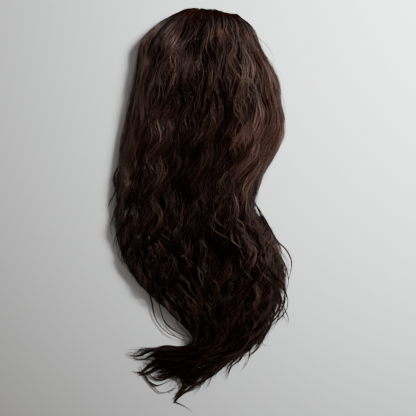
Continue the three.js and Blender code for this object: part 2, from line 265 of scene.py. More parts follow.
@dataclass
class Flow:
    """The way the hair lies. A place in it is a share of its run and an angle round its section.

    The angle is 0 at the right foot of a section, half a turn at its left foot, and the top is between.
    A run below 0 is tucked back under the front edge. Lengths are in metres.

    Attributes:
        width: The spread of the hair.
        length: The length of its footprint.
        front_cover: How far it reaches in front of the band.
        top_cover: Its thickness over the cap.
        cap_across: Where the middle of the cap lies, as a share of the width.
        fullness: How square a section is.
        width_share: How much of that spread it takes up.
        height_share: How much of that height it takes up.
        bulge: How far the folded front edge swells forwards.
        bulge_run: The share of the run over which the swell fades.
        bulge_hollow: Where across the hair the swell turns into a hollow, and how far.
        parting_run: The share of the run over which the partings fade.
        tuck_run: The share of the run, before 0, that is tucked in.
        tuck_back: How far it is tucked in.
        tuck_down: How far it comes down there, as a share of its height.
        foot_gap: How near to a foot a strand may lie, as an angle.
        lowest: How low over the surface the outside may lie.
        ridge_off: How far the ridge may lie off a section's middle, as a share of half its width.
        ridge_back: Where along the run the ridge comes back to the middle.
        small_turn: The turn by which the slope of a section is worked out.
        coarse: How many steps are skipped where the nearest one is looked for.
        steps: How finely the run is worked out.
        run_length: The length of the middle line.
    """

    width: float = 0.226
    length: float = 0.506
    front_cover: float = 0.010
    top_cover: float = 0.014
    cap_across: float = 0.53
    fullness: float = 2.3
    width_share: float = 1.0
    height_share: float = 1.0
    bulge: float = 0.0035
    bulge_run: float = 0.045
    bulge_hollow: Ramp = Ramp(0.012, 0.045, 1.5)
    parting_run: float = 0.04
    tuck_run: float = 0.02
    tuck_back: float = 0.007
    tuck_down: float = 0.85
    foot_gap: float = 0.02
    lowest: float = 0.0012
    ridge_off: float = 0.35
    ridge_back: Ramp = Ramp(0.62, 0.82)
    small_turn: float = 0.01
    coarse: int = 6
    steps: int = 900
    run_length: float = field(init=False)

    def __post_init__(self) -> None:
        """Works out the middle line and the sections along it."""
        cap = middle_of("cap")
        band_low, band_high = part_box("mouth_band")
        band_radius = (band_high[1] - band_low[1]) / 2
        corner = (cap[0] - self.width * self.cap_across, cap[1] + band_radius + self.front_cover)
        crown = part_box("cap")[1][2] + self.top_cover
        left_across, left_down, right_across, right_down, rise = np.array(SECTIONS).T

        def edge(across: Array, down: Array) -> Array:
            """One edge of the hair with its height, a row for each section."""
            x = corner[0] + across * self.width
            y = corner[1] - down * self.length
            return np.column_stack((x, y, rise * crown))

        left, right = edge(left_across, left_down), edge(right_across, right_down)
        t = np.linspace(0, len(SECTIONS) - 1, self.steps)
        line = through((left + right) / 2 * (1, 1, 0), t)
        lengths = np.concatenate(([0], np.cumsum(np.linalg.norm(np.diff(line, axis=0), axis=1))))
        self.run_length = float(lengths[-1])
        t = np.interp(np.linspace(0, self.run_length, self.steps), lengths, t)
        left, right = through(left, t), through(right, t)
        self._height = left[:, 2] * self.height_share
        left, right = left[:, :2], right[:, :2]
        self._middle = (left + right) / 2
        self._across = unit(right - left)
        self._half = np.linalg.norm(right - left, axis=1) / 2 * self.width_share
        self._shift = self._ridge()

    def _ridge(self) -> Array:
        """How far the ridge lies off each section's middle, since it bends less than the edges do."""
        window = np.hanning(self.steps // 4)
        ends = (len(window) // 2, len(window) - len(window) // 2 - 1)
        padded = np.pad(self._middle, (ends, (0, 0)), "edge")
        window = window / window.sum()
        steady = np.stack([np.convolve(padded[:, k], window, "valid") for k in (0, 1)], axis=-1)
        aside = ((steady - self._middle) * self._across).sum(axis=1) / self._half
        fade = 1 - self.ridge_back.of(np.linspace(0, 1, self.steps))
        return np.clip(aside, -self.ridge_off, self.ridge_off) * fade

    def _read(self, table: Array, run: Array) -> Array:
        """The value of a table at shares of the run."""
        return np.interp(run, np.linspace(0, 1, self.steps), table)

    def _read_pairs(self, table: Array, run: Array) -> Array:
        """The pair of values of a table at shares of the run."""
        return np.stack([self._read(table[:, k], run) for k in (0, 1)], axis=-1)

    def half(self, run: Array) -> Array:
        """Half the width of the sections at shares of the run."""
        return self._read(self._half, run)

    def height(self, run: Array) -> Array:
        """The height of the sections at shares of the run."""
        return self._read(self._height, run)

    def angle_of(self, spread: float) -> float:
        """The angle of the place on top at a spread of -1, the left edge, to 1, the right edge."""
        return math.acos(math.copysign(abs(spread) ** (self.fullness / 2), spread))

    def phase(self, run: Array, angle: Array) -> Array:
        """How far on in their waves the locks are there, beyond their own draw."""
        return sum(ripple.at(run, angle) for ripple in PHASES)

    def mound(self, run: Array, angle: Array) -> Array:
        """How far the hair is heaped up or sunken there, from about -1 to 1."""
        broad = HEAPS_ACROSS.at(run, angle) * HEAPS_DOWN.at(run, angle)
        return HEAPS_SHARE * broad + SMALL_HEAPS.at(run, angle)

    def around(self, places: Array) -> Array:
        """The directions round the section at places in the hair, one row for each.

        Args:
            places: The places, a row for each.

        Returns:
            The directions, a row for each.
        """
        middle, step = self._middle[:: self.coarse], np.arange(0, self.steps, self.coarse)
        step = step[np.argmin(((places[:, None, :2] - middle) ** 2).sum(axis=2), axis=1)]
        across = self._across[step]
        aside = ((places[:, :2] - self._middle[step]) * across).sum(axis=1) / self._half[step] ** 2
        out = unit(np.column_stack((aside, places[:, 2] / self._height[step] ** 2)))
        return np.column_stack((-out[:, 1:] * across, out[:, 0]))

    def _outline(self, run: Array, angle: Array) -> tuple[Array, Array]:
        """The spread and the share of the height of a section at an angle.

        Args:
            run: Shares of the run.
            angle: Angles round the section.

        Returns:
            The spreads, from -1 at the left to 1 at the right, and the shares of the height.
        """
        cosine = np.cos(angle)
        spread = np.sign(cosine) * np.abs(cosine) ** (2 / self.fullness)
        spread = spread + self._read(self._shift, run) * (1 - spread**2)
        return spread, np.clip(1 - np.abs(spread) ** self.fullness, 0, 1) ** (1 / self.fullness)

    def _front(self, run: Array, angle: Array, across: Array) -> Array:
        """How far forwards the front fold swells, less its partings.

        Args:
            run: Shares of the run.
            angle: Angles round the section.
            across: Places across the hair.

        Returns:
            The swell at each place, in metres.
        """
        swell = self.bulge * (1 - smoothstep(np.abs(run), 0, self.bulge_run)) * np.abs(np.sin(angle)) ** 0.5
        swell = swell * (1 - self.bulge_hollow.of(across))
        parted = sum(parting.at(across) for parting in PARTINGS)
        return swell - parted * (1 - smoothstep(run, 0, self.parting_run))

    def surface(self, run: Array, angle: Array) -> tuple[Array, Array, Array]:
        """Places on the outside of the hair.

        Args:
            run: Shares of the run.
            angle: Angles round the section, in the same shape.

        Returns:
            The points, the directions round the section towards its left foot, and the outward ones.
        """
        angle = np.clip(angle, self.foot_gap, math.pi - self.foot_gap)
        half, height = self.half(run), self.height(run)
        across, middle = self._read_pairs(self._across, run), self._read_pairs(self._middle, run)
        spread, rise = self._outline(run, angle)
        turned_spread, turned_rise = self._outline(run, angle + self.small_turn)
        out = half * (turned_spread - spread)
        up = height * (turned_rise - rise)
        long = np.maximum(np.hypot(out, up), 1e-12)
        out, up = out / long, up / long
        place = middle + across * (half * spread)[..., None]
        tucked = np.clip(-run / self.tuck_run, 0, 1)
        place[..., 1] += self._front(run, angle, place[..., 0]) - self.tuck_back * tucked**2
        tall = np.maximum(height * rise * (1 - self.tuck_down * tucked), self.lowest)
        points = np.concatenate((place, tall[..., None]), axis=-1)
        around = np.concatenate((across * out[..., None], up[..., None]), axis=-1)
        outward = np.concatenate((across * up[..., None], -out[..., None]), axis=-1)
        return points, around, outward


@dataclass(frozen=True)
class Habit:
    """How every strand wanders, waves and gathers on its way down the hair.

    A ramp goes by the share of the run, and a tip's by the share of the strand's own length.
    """

    settling: Ramp = Ramp(0.34, 0.58, 0.8)  # How far stray strands come back to their bundle
    wanders: Span = (1.6, 3.7)  # How often a strand wanders to and fro down the run, broadly and finely
    fine_wander: float = 0.4  # How far it wanders finely, as a share
    fine_start: float = 2.3  # How differently the fine wandering starts
    loosening: Ramp = Ramp(0.3, 0.8)  # Where the waves fall out of step
    root_wave: float = 0.1  # How much of its wave a strand has at the front fold
    crown_wave: Ramp = Ramp(0.0, 0.1, 0.75)  # How much more it has over the crown
    lower_wave: Ramp = Ramp(0.34, 0.65, 0.82)  # How much more it has further down
    gather_length: float = 0.11  # The length over which a bundle gathers and opens, in metres
    gather_change: float = 0.3  # How much it does, as a share
    gather_start: float = 3.1  # How differently bundles start on that
    gather_low: Ramp = Ramp(0.4, 0.7, 0.3)  # How much closer the strands lie further down
    gather_tip: Ramp = Ramp(0.75, 1.0, 0.7)  # How much closer they lie at the tips
    frizz_start: float = 5.0  # How differently the small waves start
    full_half: float = 0.085  # Half the width of a section in which bundles lie at ease
    full_swing: float = 0.06  # Half the width of a section in which they swing at ease
    full_height: float = 0.04  # The height of a section in which they lift at ease
    half_limits: Span = (0.42, 1.1)  # The least and the most of that ease for the strands of a bundle
    swing_limits: Span = (0.75, 1.1)  # The same for the swing
    height_limits: Span = (0.2, 1.0)  # The same for the lift
    flare_tip: Ramp = Ramp(0.86, 1.0)  # Where a tip bends aside
    lift_tip: Ramp = Ramp(0.8, 1.0)  # Where it lifts off the edge
    edge_power: int = 4  # How narrow the edges are that differ from the top
    edge_calm: float = 0.5  # How much less the strands at the edges swing, down to the bend
    edge_low: float = 0.6  # How much less they lift there
    bend: Ramp = Ramp(0.4, 0.55, 1.8)  # Where the edges come free, and how much more they lift there
    lift_lead: float = 0.6  # How far the lift is ahead of the swing in a wave
    gather_lift: float = 0.6  # How deep a bundle is, as a share of its width
    mound: float = 2.4  # How high the heaps of the whole hair are, in millimetres
    patch: float = 2.6  # How high the chosen patches are, in millimetres


HABIT = Habit()


@dataclass
class Strands:
    """Many strands at once, each an entry of every array. Lengths are in metres.

    A strand keeps to a bundle, which has a middle line of its own. The values of a bundle repeat for its
    strands.

    Attributes:
        angle: Where the bundle lies round the section.
        astray: How far the strand lies astray from it, as an angle, until it settles.
        depth: How far the bundle lies under the outside.
        first: The share of the run where the bundle starts.
        last: The share of the run where it ends.
        wave_length: The length of its waves.
        phase: Where in a wave it starts.
        loosen: How far its waves fall out of step with the others further down.
        swing: How far its waves swing sideways.
        lift: How far they swing up and down.
        drift: How far it wanders round the section, as an angle.
        wander: Where in that wandering it starts.
        flare: How far its tip bends aside.
        start: The share of the run where the strand starts.
        end: The share of the run where it ends.
        radius: How far it lies from the bundle's middle.
        spin: On which side of the middle it starts.
        twist: How many turns it makes round the middle in a metre.
        lag: How far its waves lag behind.
        frizz: How far its own small waves swing.
        frizz_length: How long those are.
        thickness: Its half width.
        tone: How light it is, from 0 to 1.
    """

    angle: Array
    astray: Array
    depth: Array
    first: Array
    last: Array
    wave_length: Array
    phase: Array
    loosen: Array
    swing: Array
    lift: Array
    drift: Array
    wander: Array
    flare: Array
    start: Array
    end: Array
    radius: Array
    spin: Array
    twist: Array
    lag: Array
    frizz: Array
    frizz_length: Array
    thickness: Array
    tone: Array

    def runs(self, count: int) -> Array:
        """Shares of the run along each strand, in count even steps."""
        share = np.linspace(0, 1, count)[None, :]
        return self.start[:, None] + (self.end - self.start)[:, None] * share

    def columns(self) -> "Strands":
        """The same strands with each entry a row of its own, to go with a row of steps."""
        return Strands(**{name: getattr(self, name)[:, None] for name in self.__dataclass_fields__})

    def _wandered(self, run: Array) -> Array:
        """The angles at which strands in columns lie, with their wandering.

        Args:
            run: Shares of the run.

        Returns:
            An angle for each share.
        """
        broad, fine = HABIT.wanders
        angle = self.angle + self.astray * (1 - HABIT.settling.of(run))
        angle = angle + self.drift * np.sin(TAU * broad * run + self.wander)
        finely = np.sin(TAU * fine * run + HABIT.fine_start * self.wander)
        return angle + HABIT.fine_wander * self.drift * finely

    def _gathered(self, run: Array, along: Array, share: Array) -> Array:
        """How far strands in columns lie from the middle of their bundle.

        Args:
            run: Shares of the run.
            along: The same in metres.
            share: Shares of their own length.

        Returns:
            How far they lie from it at each place, in metres.
        """
        turn = TAU * along / HABIT.gather_length + HABIT.gather_start * self.wander
        gather = self.radius * (1 + HABIT.gather_change * np.sin(turn))
        return gather * (1 - HABIT.gather_low.of(run)) * (1 - HABIT.gather_tip.of(share))

    def paths(self, flow: Flow, run: Array) -> tuple[Array, Array]:
        """The middle line of each strand.

        Args:
            flow: The way the hair lies.
            run: Shares of the run, a row for each strand.

        Returns:
            The points, and the outward directions there.
        """
        own = self.columns()
        half = flow.half(run)
        along = run * flow.run_length
        share = np.clip((run - own.first) / (own.last - own.first), 0, 1)
        angle = own._wandered(run)
        points, around, outward = flow.surface(run, angle)
        turn = TAU * along / own.wave_length + own.phase + own.lag + flow.phase(run, angle)
        turn = turn + own.loosen * HABIT.loosening.of(run)
        grown = HABIT.root_wave + HABIT.crown_wave.of(run) + HABIT.lower_wave.of(run)
        gather = own._gathered(run, along, share)
        spin = own.spin + TAU * own.twist * along
        frizz = own.frizz * grown * np.sin(TAU * along / own.frizz_length + HABIT.frizz_start * own.spin)
        edge = np.cos(angle) ** HABIT.edge_power
        freed = HABIT.bend.of(run)

        aside = own.swing * grown * np.sin(turn) * np.clip(half / HABIT.full_swing, *HABIT.swing_limits)
        aside = aside + (gather * np.cos(spin) + frizz) * np.clip(half / HABIT.full_half, *HABIT.half_limits)
        aside = aside + own.flare * HABIT.flare_tip.of(share)
        aside = aside * (1 - HABIT.edge_calm * edge * (1 - smoothstep(run, HABIT.bend.low, HABIT.bend.high)))

        lift = own.lift * grown * (1 + edge * (freed - HABIT.edge_low)) * np.cos(turn + HABIT.lift_lead)
        lift = lift + HABIT.gather_lift * gather * np.sin(spin)
        lift = lift + np.abs(own.flare) * edge * HABIT.lift_tip.of(share)
        heaps = HABIT.mound * flow.mound(run, angle) + HABIT.patch * patched(points)
        lift = lift - own.depth + MM * heaps
        lift = lift * np.clip(flow.height(run) / HABIT.full_height, *HABIT.height_limits)
        return points + around * aside[..., None] + outward * lift[..., None], outward


@dataclass
class Tubes:
    """Closed tapering tubes along many lines, joined into one mesh.

    Attributes:
        points: The lines, as (tube, step, 3).
        outward: The direction of each section's short axis.
        half_width: Half the width at each step.
        half_depth: Half the depth at each step.
        tone: How light it is at each step.
        sides: How many sides a tube has.
        thin: How thin the hair is at each step, which paints in the light that comes through it.
    """

    points: Array
    outward: Array
    half_width: Array
    half_depth: Array
    tone: Array
    sides: int
    thin: Array | None = None

    def _rings(self, floor: float) -> Array:
        """The corners of every ring, none lower than floor.

        Args:
            floor: The lowest height of any corner.

        Returns:
            The corners, as (tube, step, side, 3).
        """
        tangent = unit(np.gradient(self.points, axis=1))
        side = unit(np.cross(tangent, self.outward))
        up = unit(np.cross(side, tangent))
        angle = TAU * (np.arange(self.sides) + 0.25) / self.sides
        wide = self.half_width[..., None, None] * np.cos(angle)[:, None]
        deep = self.half_depth[..., None, None] * np.sin(angle)[:, None]
        points = self.points.copy()
        points[..., 2] = np.maximum(points[..., 2], floor + self.half_depth)
        corners = points[:, :, None, :] + side[:, :, None, :] * wide + up[:, :, None, :] * deep
        corners[..., 2] = np.maximum(corners[..., 2], floor)
        return corners

    def mesh(self, name: str, floor: float = FLOOR) -> Mesh:
        """Joins the tubes.

        Args:
            name: The mesh's name.
            floor: The lowest height of any corner.

        Returns:
            The mesh, with a UV map along and round each tube, and its tone and thinness at each corner.
        """
        corners = self._rings(floor)
        tubes, steps, sides = corners.shape[:3]
        first = (np.arange(tubes) * steps * sides)[:, None, None]
        ring = (np.arange(steps - 1) * sides)[None, :, None]
        here = np.arange(sides)[None, None, :]
        onward = (here + 1) % sides
        near, far = first + ring, first + ring + sides
        quads = np.stack((near + here, far + here, far + onward, near + onward), axis=-1).reshape(-1)
        start_caps = (first[:, 0] + np.arange(sides)[None, :]).reshape(-1)
        end_caps = (first[:, 0] + (steps - 1) * sides + np.arange(sides)[::-1][None, :]).reshape(-1)
        loops = np.concatenate((quads, start_caps, end_caps)).astype(np.int32)
        sizes = np.concatenate((np.full(len(quads) // 4, 4), np.full(2 * tubes, sides))).astype(np.int32)
        mesh = bpy.data.meshes.new(name)
        mesh.vertices.add(tubes * steps * sides)
        mesh.vertices.foreach_set("co", corners.astype(np.float32).reshape(-1))
        mesh.loops.add(len(loops))
        mesh.loops.foreach_set("vertex_index", loops)
        mesh.polygons.add(len(sizes))
        starts = np.concatenate(([0], np.cumsum(sizes)[:-1]))
        mesh.polygons.foreach_set("loop_start", starts.astype(np.int32))
        mesh.polygons.foreach_set("loop_total", sizes)
        mesh.polygons.foreach_set("use_smooth", np.ones(len(sizes), dtype=bool))
        mesh.update(calc_edges=True)
        gaps = np.linalg.norm(np.diff(self.points, axis=1), axis=2)
        along = np.concatenate((np.zeros((tubes, 1)), np.cumsum(gaps, axis=1)), axis=1)
        shift = np.repeat(self.tone[:, 0], steps * sides)
        u = np.repeat(along.reshape(-1), sides) + shift * STREAK_SHIFTS[0]
        v = np.tile(np.arange(sides) / sides, tubes * steps) + shift * STREAK_SHIFTS[1]
        uv = np.stack((u, v), axis=-1)[loops]
        mesh.uv_layers.new(name="UVMap").uv.foreach_set("vector", uv.astype(np.float32).reshape(-1))
        for attribute, values in (("tone", self.tone), ("thin", self.thin)):
            if values is not None:
                held = mesh.attributes.new(attribute, "FLOAT", "POINT")
                held.data.foreach_set("value", np.repeat(values.reshape(-1), sides).astype(np.float32))
        return mesh


class Nodes:
    """Short ways to add and join the nodes of a material."""

    def __init__(self, name: str) -> None:
        """Starts a material of that name, with only its shader and its output."""
        self.material = bpy.data.materials.new(name)
        self.material.use_nodes = True
        self.tree = self.material.node_tree
        self.tree.nodes.clear()
        self.shader = self.add("ShaderNodeBsdfPrincipled")
        output = self.add("ShaderNodeOutputMaterial")
        self.join(self.shader, "BSDF", output, "Surface")

    def add(self, kind: str, **values: object) -> Node:
        """Adds a node and sets its properties or sockets by name, with _ for a space.

        Args:
            kind: The node's kind.
            **values: What is set.

        Returns:
            The node.
        """
        node = self.tree.nodes.new(kind)
        for name, value in values.items():
            socket = node.inputs.get(name.replace("_", " "))
            if socket is None:
                setattr(node, name, value)
            else:
                socket.default_value = value
        return node

    def join(self, source: Node, output: str | int, target: Node, socket: str | int) -> None:
        """Joins an output of one node to a socket of another, each by its name or its number."""
        self.tree.links.new(source.outputs[output], target.inputs[socket])

    def math(self, operation: str, *given: float | tuple[Node, str]) -> Node:
        """Adds a calculation.

        Args:
            operation: Its kind.
            *given: What it works on in turn, each a number, or a node and the name of its output.

        Returns:
            The node.
        """
        node = self.add("ShaderNodeMath", operation=operation)
        for number, value in enumerate(given):
            if isinstance(value, tuple):
                self.join(*value, node, number)
            else:
                node.inputs[number].default_value = value
        return node

    def ramp(self, stops: tuple[tuple[float, Colour], ...]) -> Node:
        """Adds a colour ramp with these stops.

        Args:
            stops: Its places, each with its colour.

        Returns:
            The node.
        """
        node = self.add("ShaderNodeValToRGB")
        elements = node.color_ramp.elements
        while len(elements) < len(stops):
            elements.new(0.5)
        for element, (place, colour) in zip(elements, stops):
            element.position = place
            element.color = (*colour, 1)
        return node


@dataclass(frozen=True)
class HairFinish:
    """Dark brown hair, with its light painted in: darkest where it lies deep, a painted shade, lighter
    and shinier on top, a painted highlight, and reddish and dull where thin, painted light coming through.

    How light and how thin it is comes from the strands' own "tone" and "thin" attributes.

    Attributes:
        name: The material's name.
        deep: The colour of its darkest fibres.
        brown: The colour of most of it.
        warm: The colour of its lighter fibres.
        lit: The colour of the lightest, a greyish painted sheen where painted highlights lift the tone.
        stops: The tones at which it has those four colours.
        thin: The colour of painted light coming through thin hair.
        shine: The tint of its shine.
        gloss: How strong that shine is on the lightest fibres. It fades with the tone.
        dulling: How much of the shine thin hair loses.
        roughness: How blurred the shine is.
        streaks: How many fine fibres show across a lock, or 0 for single fibres.
        streak_change: How often those change in a metre.
        contrast: How far they differ in tone.
        relief: How deep they are, in metres.
    """

    name: str
    deep: Colour = (0.003, 0.001, 0.0007)
    brown: Colour = (0.008, 0.0028, 0.0019)
    warm: Colour = (0.042, 0.0145, 0.0088)
    lit: Colour = (0.084, 0.044, 0.035)
    stops: tuple[float, float, float, float] = (0.0, 0.42, 0.76, 1.0)
    thin: Colour = (0.064, 0.0225, 0.0128)
    shine: Colour = (1.0, 0.74, 0.64)
    gloss: float = 0.76
    dulling: float = 1.2
    roughness: float = 0.4
    streaks: float = 0.0
    streak_change: float = 9.0
    contrast: float = 0.7
    relief: float = 0.0004

    def material(self) -> Material:
        """Makes the material."""
        nodes = Nodes(self.name)
        shader = nodes.shader
        shader.inputs["Roughness"].default_value = self.roughness
        shader.inputs["Specular Tint"].default_value = (*self.shine, 1)
        tone = nodes.add("ShaderNodeAttribute", attribute_name="tone")
        thin = nodes.add("ShaderNodeAttribute", attribute_name="thin")
        ramp = nodes.ramp(tuple(zip(self.stops, (self.deep, self.brown, self.warm, self.lit))))
        shine = nodes.math("MULTIPLY", (tone, "Fac"), self.gloss)
        kept = nodes.math("MULTIPLY_ADD", (thin, "Fac"), -self.dulling, 1.0)
        dulled = nodes.math("MULTIPLY", (kept, "Value"), (shine, "Value"))
        nodes.join(dulled, "Value", shader, "Specular IOR Level")
        if self.streaks:
            self._streak(nodes, tone, ramp)
        else:
            nodes.join(tone, "Fac", ramp, "Fac")
        # Painted light coming through thin hair: the base colour turns to the thin colour as that attribute
        # rises.
        glow = nodes.add("ShaderNodeMix", data_type="RGBA")
        glow.inputs[MIX_SECOND].default_value = (*self.thin, 1)
        nodes.join(thin, "Fac", glow, MIX_SHARE)
        nodes.join(ramp, "Color", glow, MIX_FIRST)
        nodes.join(glow, MIX_RESULT, shader, "Base Color")
        return nodes.material

    def _streak(self, nodes: Nodes, tone: Node, ramp: Node) -> None:
        """Lays fine fibres along the locks, in their colour and in their relief.

        Args:
            nodes: The material.
            tone: The node that gives the tone.
            ramp: The node that colours it.
        """
        place = nodes.add("ShaderNodeUVMap", uv_map="UVMap")
        stretch = nodes.add("ShaderNodeMapping", Scale=(self.streak_change, self.streaks, 1.0))
        noise = nodes.add("ShaderNodeTexNoise", Scale=1.0, Detail=3.0, Roughness=0.6)
        bump = nodes.add("ShaderNodeBump", Strength=0.8, Distance=self.relief)
        blend = nodes.math("MULTIPLY_ADD", (noise, "Fac"), self.contrast, (tone, "Fac"))
        shift = nodes.math("SUBTRACT", (blend, "Value"), self.contrast / 2)
        nodes.join(place, "UV", stretch, "Vector")
        nodes.join(stretch, "Vector", noise, "Vector")
        nodes.join(shift, "Value", ramp, "Fac")
        nodes.join(noise, "Fac", bump, "Height")
        nodes.join(bump, "Normal", nodes.shader, "Normal")


@dataclass(frozen=True)
class ClothFinish:
    """Dark woven stuff with a fine grain.

    Attributes:
        name: The material's name.
        dark: The colour between its threads.
        light: The colour of its threads.
        threads: How many threads lie side by side in a metre.
        relief: How far they stand out, in metres.
    """

    name: str
    dark: Colour
    light: Colour
    threads: float
    relief: float

    def material(self) -> Material:
        """Makes the material."""
        nodes = Nodes(self.name)
        nodes.shader.inputs["Roughness"].default_value = 0.85
        place = nodes.add("ShaderNodeTexCoord")
        grain = nodes.add("ShaderNodeTexVoronoi", Scale=self.threads)
        ramp = nodes.ramp(((0.0, self.light), (0.6, self.dark)))
        bump = nodes.add("ShaderNodeBump", Strength=0.7, Distance=self.relief, invert=True)
        nodes.join(place, "Object", grain, "Vector")
        nodes.join(grain, "Distance", ramp, "Fac")
        nodes.join(grain, "Distance", bump, "Height")
        nodes.join(ramp, "Color", nodes.shader, "Base Color")
        nodes.join(bump, "Normal", nodes.shader, "Normal")
        return nodes.material


@dataclass(frozen=True)
class CombFinish:
    """Smooth dark brown plastic with faint clouds.

    Attributes:
        name: The material's name.
        dark: The colour of most of it.
        light: The colour of its clouds.
    """

    name: str
    dark: Colour = (0.012, 0.007, 0.005)
    light: Colour = (0.05, 0.024, 0.012)

    def material(self) -> Material:
        """Makes the material."""
        nodes = Nodes(self.name)
        nodes.shader.inputs["Roughness"].default_value = 0.3
        place = nodes.add("ShaderNodeTexCoord")
        clouds = nodes.add("ShaderNodeTexNoise", Scale=90.0, Detail=2.0)
        ramp = nodes.ramp(((0.45, self.dark), (0.75, self.light)))
        nodes.join(place, "Object", clouds, "Vector")
        nodes.join(clouds, "Fac", ramp, "Fac")
        nodes.join(ramp, "Color", nodes.shader, "Base Color")
        return nodes.material


def deselect() -> None:
    """Leaves nothing selected and nothing in edit mode."""
    if bpy.context.object and bpy.context.object.mode != "OBJECT":
        bpy.ops.object.mode_set(mode="OBJECT")
    bpy.ops.object.select_all(action="DESELECT")


def pick(made: Object) -> None:
    """Leaves only this object selected, and active."""
    deselect()
    made.select_set(True)
    bpy.context.view_layer.objects.active = made


def declare(made: Object, material: Material, node: str) -> Object:
    """Finishes an object as a piece of the ponytail.

    Args:
        made: The object, already in place.
        material: Its finish.
        node: The CAD node that it stands for.

    Returns:
        The object.
    """
    made.data.materials.clear()
    made.data.materials.append(material)
    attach(made, "root")
    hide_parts(node)
    return made


def from_mesh(mesh: Mesh) -> Object:
    """Puts a finished mesh in the scene, at the origin."""
    made = bpy.data.objects.new(mesh.name, mesh)
    bpy.context.scene.collection.objects.link(made)
    return made


def copy_of(node: str, name: str) -> Object:
    """Copies a CAD node's mesh, in place and with its corners merged, and leaves the copy active.

    Args:
        node: The node.
        name: The copy's name.

    Returns:
        The copy.
    """
    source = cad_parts[node]
    mesh = source.data.copy()
    mesh.name = name
    mesh.transform(source.matrix_world)
    made = from_mesh(mesh)
    pick(made)
    bpy.ops.object.mode_set(mode="EDIT")
    bpy.ops.mesh.select_all(action="SELECT")
    bpy.ops.mesh.remove_doubles(threshold=0.00001)
    bpy.ops.object.mode_set(mode="OBJECT")
    return made


def apply(made: Object) -> None:
    """Applies every modifier of an object."""
    pick(made)
    for modifier in list(made.modifiers):
        bpy.ops.object.modifier_apply(modifier=modifier.name)


def settle(made: Object) -> None:
    """Gives an object its turn and size for good, with its origin at the middle of everything."""
    pick(made)
    bpy.ops.object.transform_apply(location=True, rotation=True, scale=True)


def select_where(chosen: Callable[[Vector], bool]) -> None:
    """Selects the corners of the mesh in edit mode that pass a test of their place.

    Args:
        chosen: The test.
    """
    mesh = bpy.context.edit_object.data
    held = bmesh.from_edit_mesh(mesh)
    for corner in held.verts:
        corner.select_set(chosen(corner.co))
    held.select_flush_mode()
    bmesh.update_edit_mesh(mesh)


class Part(Enum):
    """What a weft is made of, from the inside out."""

    CORE = "core"
    LOCKS = "locks"
    LONG_FIBRES = "long_fibres"
    SHORT_FIBRES = "short_fibres"


@dataclass
class Core:
    """The dark inside of a weft, which keeps light from passing between its strands. It is coloured darker
    than the hair, a painted shade for the hair deep inside. Lengths are in metres.

    Attributes:
        flow: The way the hair lies.
        node: The CAD node that it stands for.
        inset: How far it lies inside that node's outside, where the node is thick enough.
        most: How much of the thickness it lies inside elsewhere, as a share.
        skin: How far under a corner the search for the far side starts.
        grain: The size of its facets.
        thin: How thin a tip is that it leaves out.
        kept: The share of the facets that are kept at the end.
    """

    flow: Flow
    node: str
    inset: float = 0.0065
    most: float = 0.45
    skin: float = 0.0002
    grain: float = 0.005
    thin: float = 0.006
    kept: float = 0.5

    def _thicknesses(self, made: Object) -> Array:
        """How thick the hair is under each corner, up to what keeps the inset from turning it inside out.

        Args:
            made: The core.

        Returns:
            The thicknesses, in metres.
        """
        enough = self.inset / self.most
        found = []
        for corner in made.data.vertices:
            inward = -corner.normal
            hit, place, _, _ = made.ray_cast(corner.co + inward * self.skin, inward, distance=enough)
            found.append((place - corner.co).length if hit else enough)
        return np.array(found)

    def _remesh(self, made: Object) -> None:
        """Makes the surface even and closed."""
        remesh = made.modifiers.new("remesh", "REMESH")
        remesh.mode = "VOXEL"
        remesh.voxel_size = self.grain
        apply(made)

    def _drop_tips(self, made: Object) -> None:
        """Draws the thin tips in, to the nearest thick place.

        Args:
            made: The core.
        """
        thick = self._thicknesses(made)
        places = [corner.co.copy() for corner in made.data.vertices]
        stout = KDTree(len(places))
        for index in np.flatnonzero(thick > self.thin):
            stout.insert(places[index], int(index))
        stout.balance()
        for index in np.flatnonzero(thick <= self.thin):
            made.data.vertices[index].co = stout.find(places[index])[0]
        made.data.update()

    def _shrink(self, made: Object) -> None:
        """Draws the surface in, but not round the section, where another weft lies against it.

        Args:
            made: The core.
        """
        places = np.array([corner.co for corner in made.data.vertices])
        normals = np.array([corner.normal for corner in made.data.vertices])
        around = self.flow.around(places)
        normals -= (normals * around).sum(axis=1)[:, None] * around
        places -= normals * self.most * self._thicknesses(made)[:, None]
        made.data.vertices.foreach_set("co", places.astype(np.float32).reshape(-1))
        made.data.update()

    def build(self, finish: Material) -> Object:
        """Draws in an even copy of the node.

        Args:
            finish: Its finish.

        Returns:
            The core.
        """
        made = copy_of(self.node, f"{self.node.removesuffix('_hair')}_core")
        self._remesh(made)
        self._drop_tips(made)
        self._remesh(made)
        self._shrink(made)
        fewer = made.modifiers.new("fewer", "DECIMATE")
        fewer.ratio = self.kept
        apply(made)
        for corner in made.data.vertices:
            corner.co.z = max(corner.co.z, FLOOR)
        return declare(made, finish, self.node)


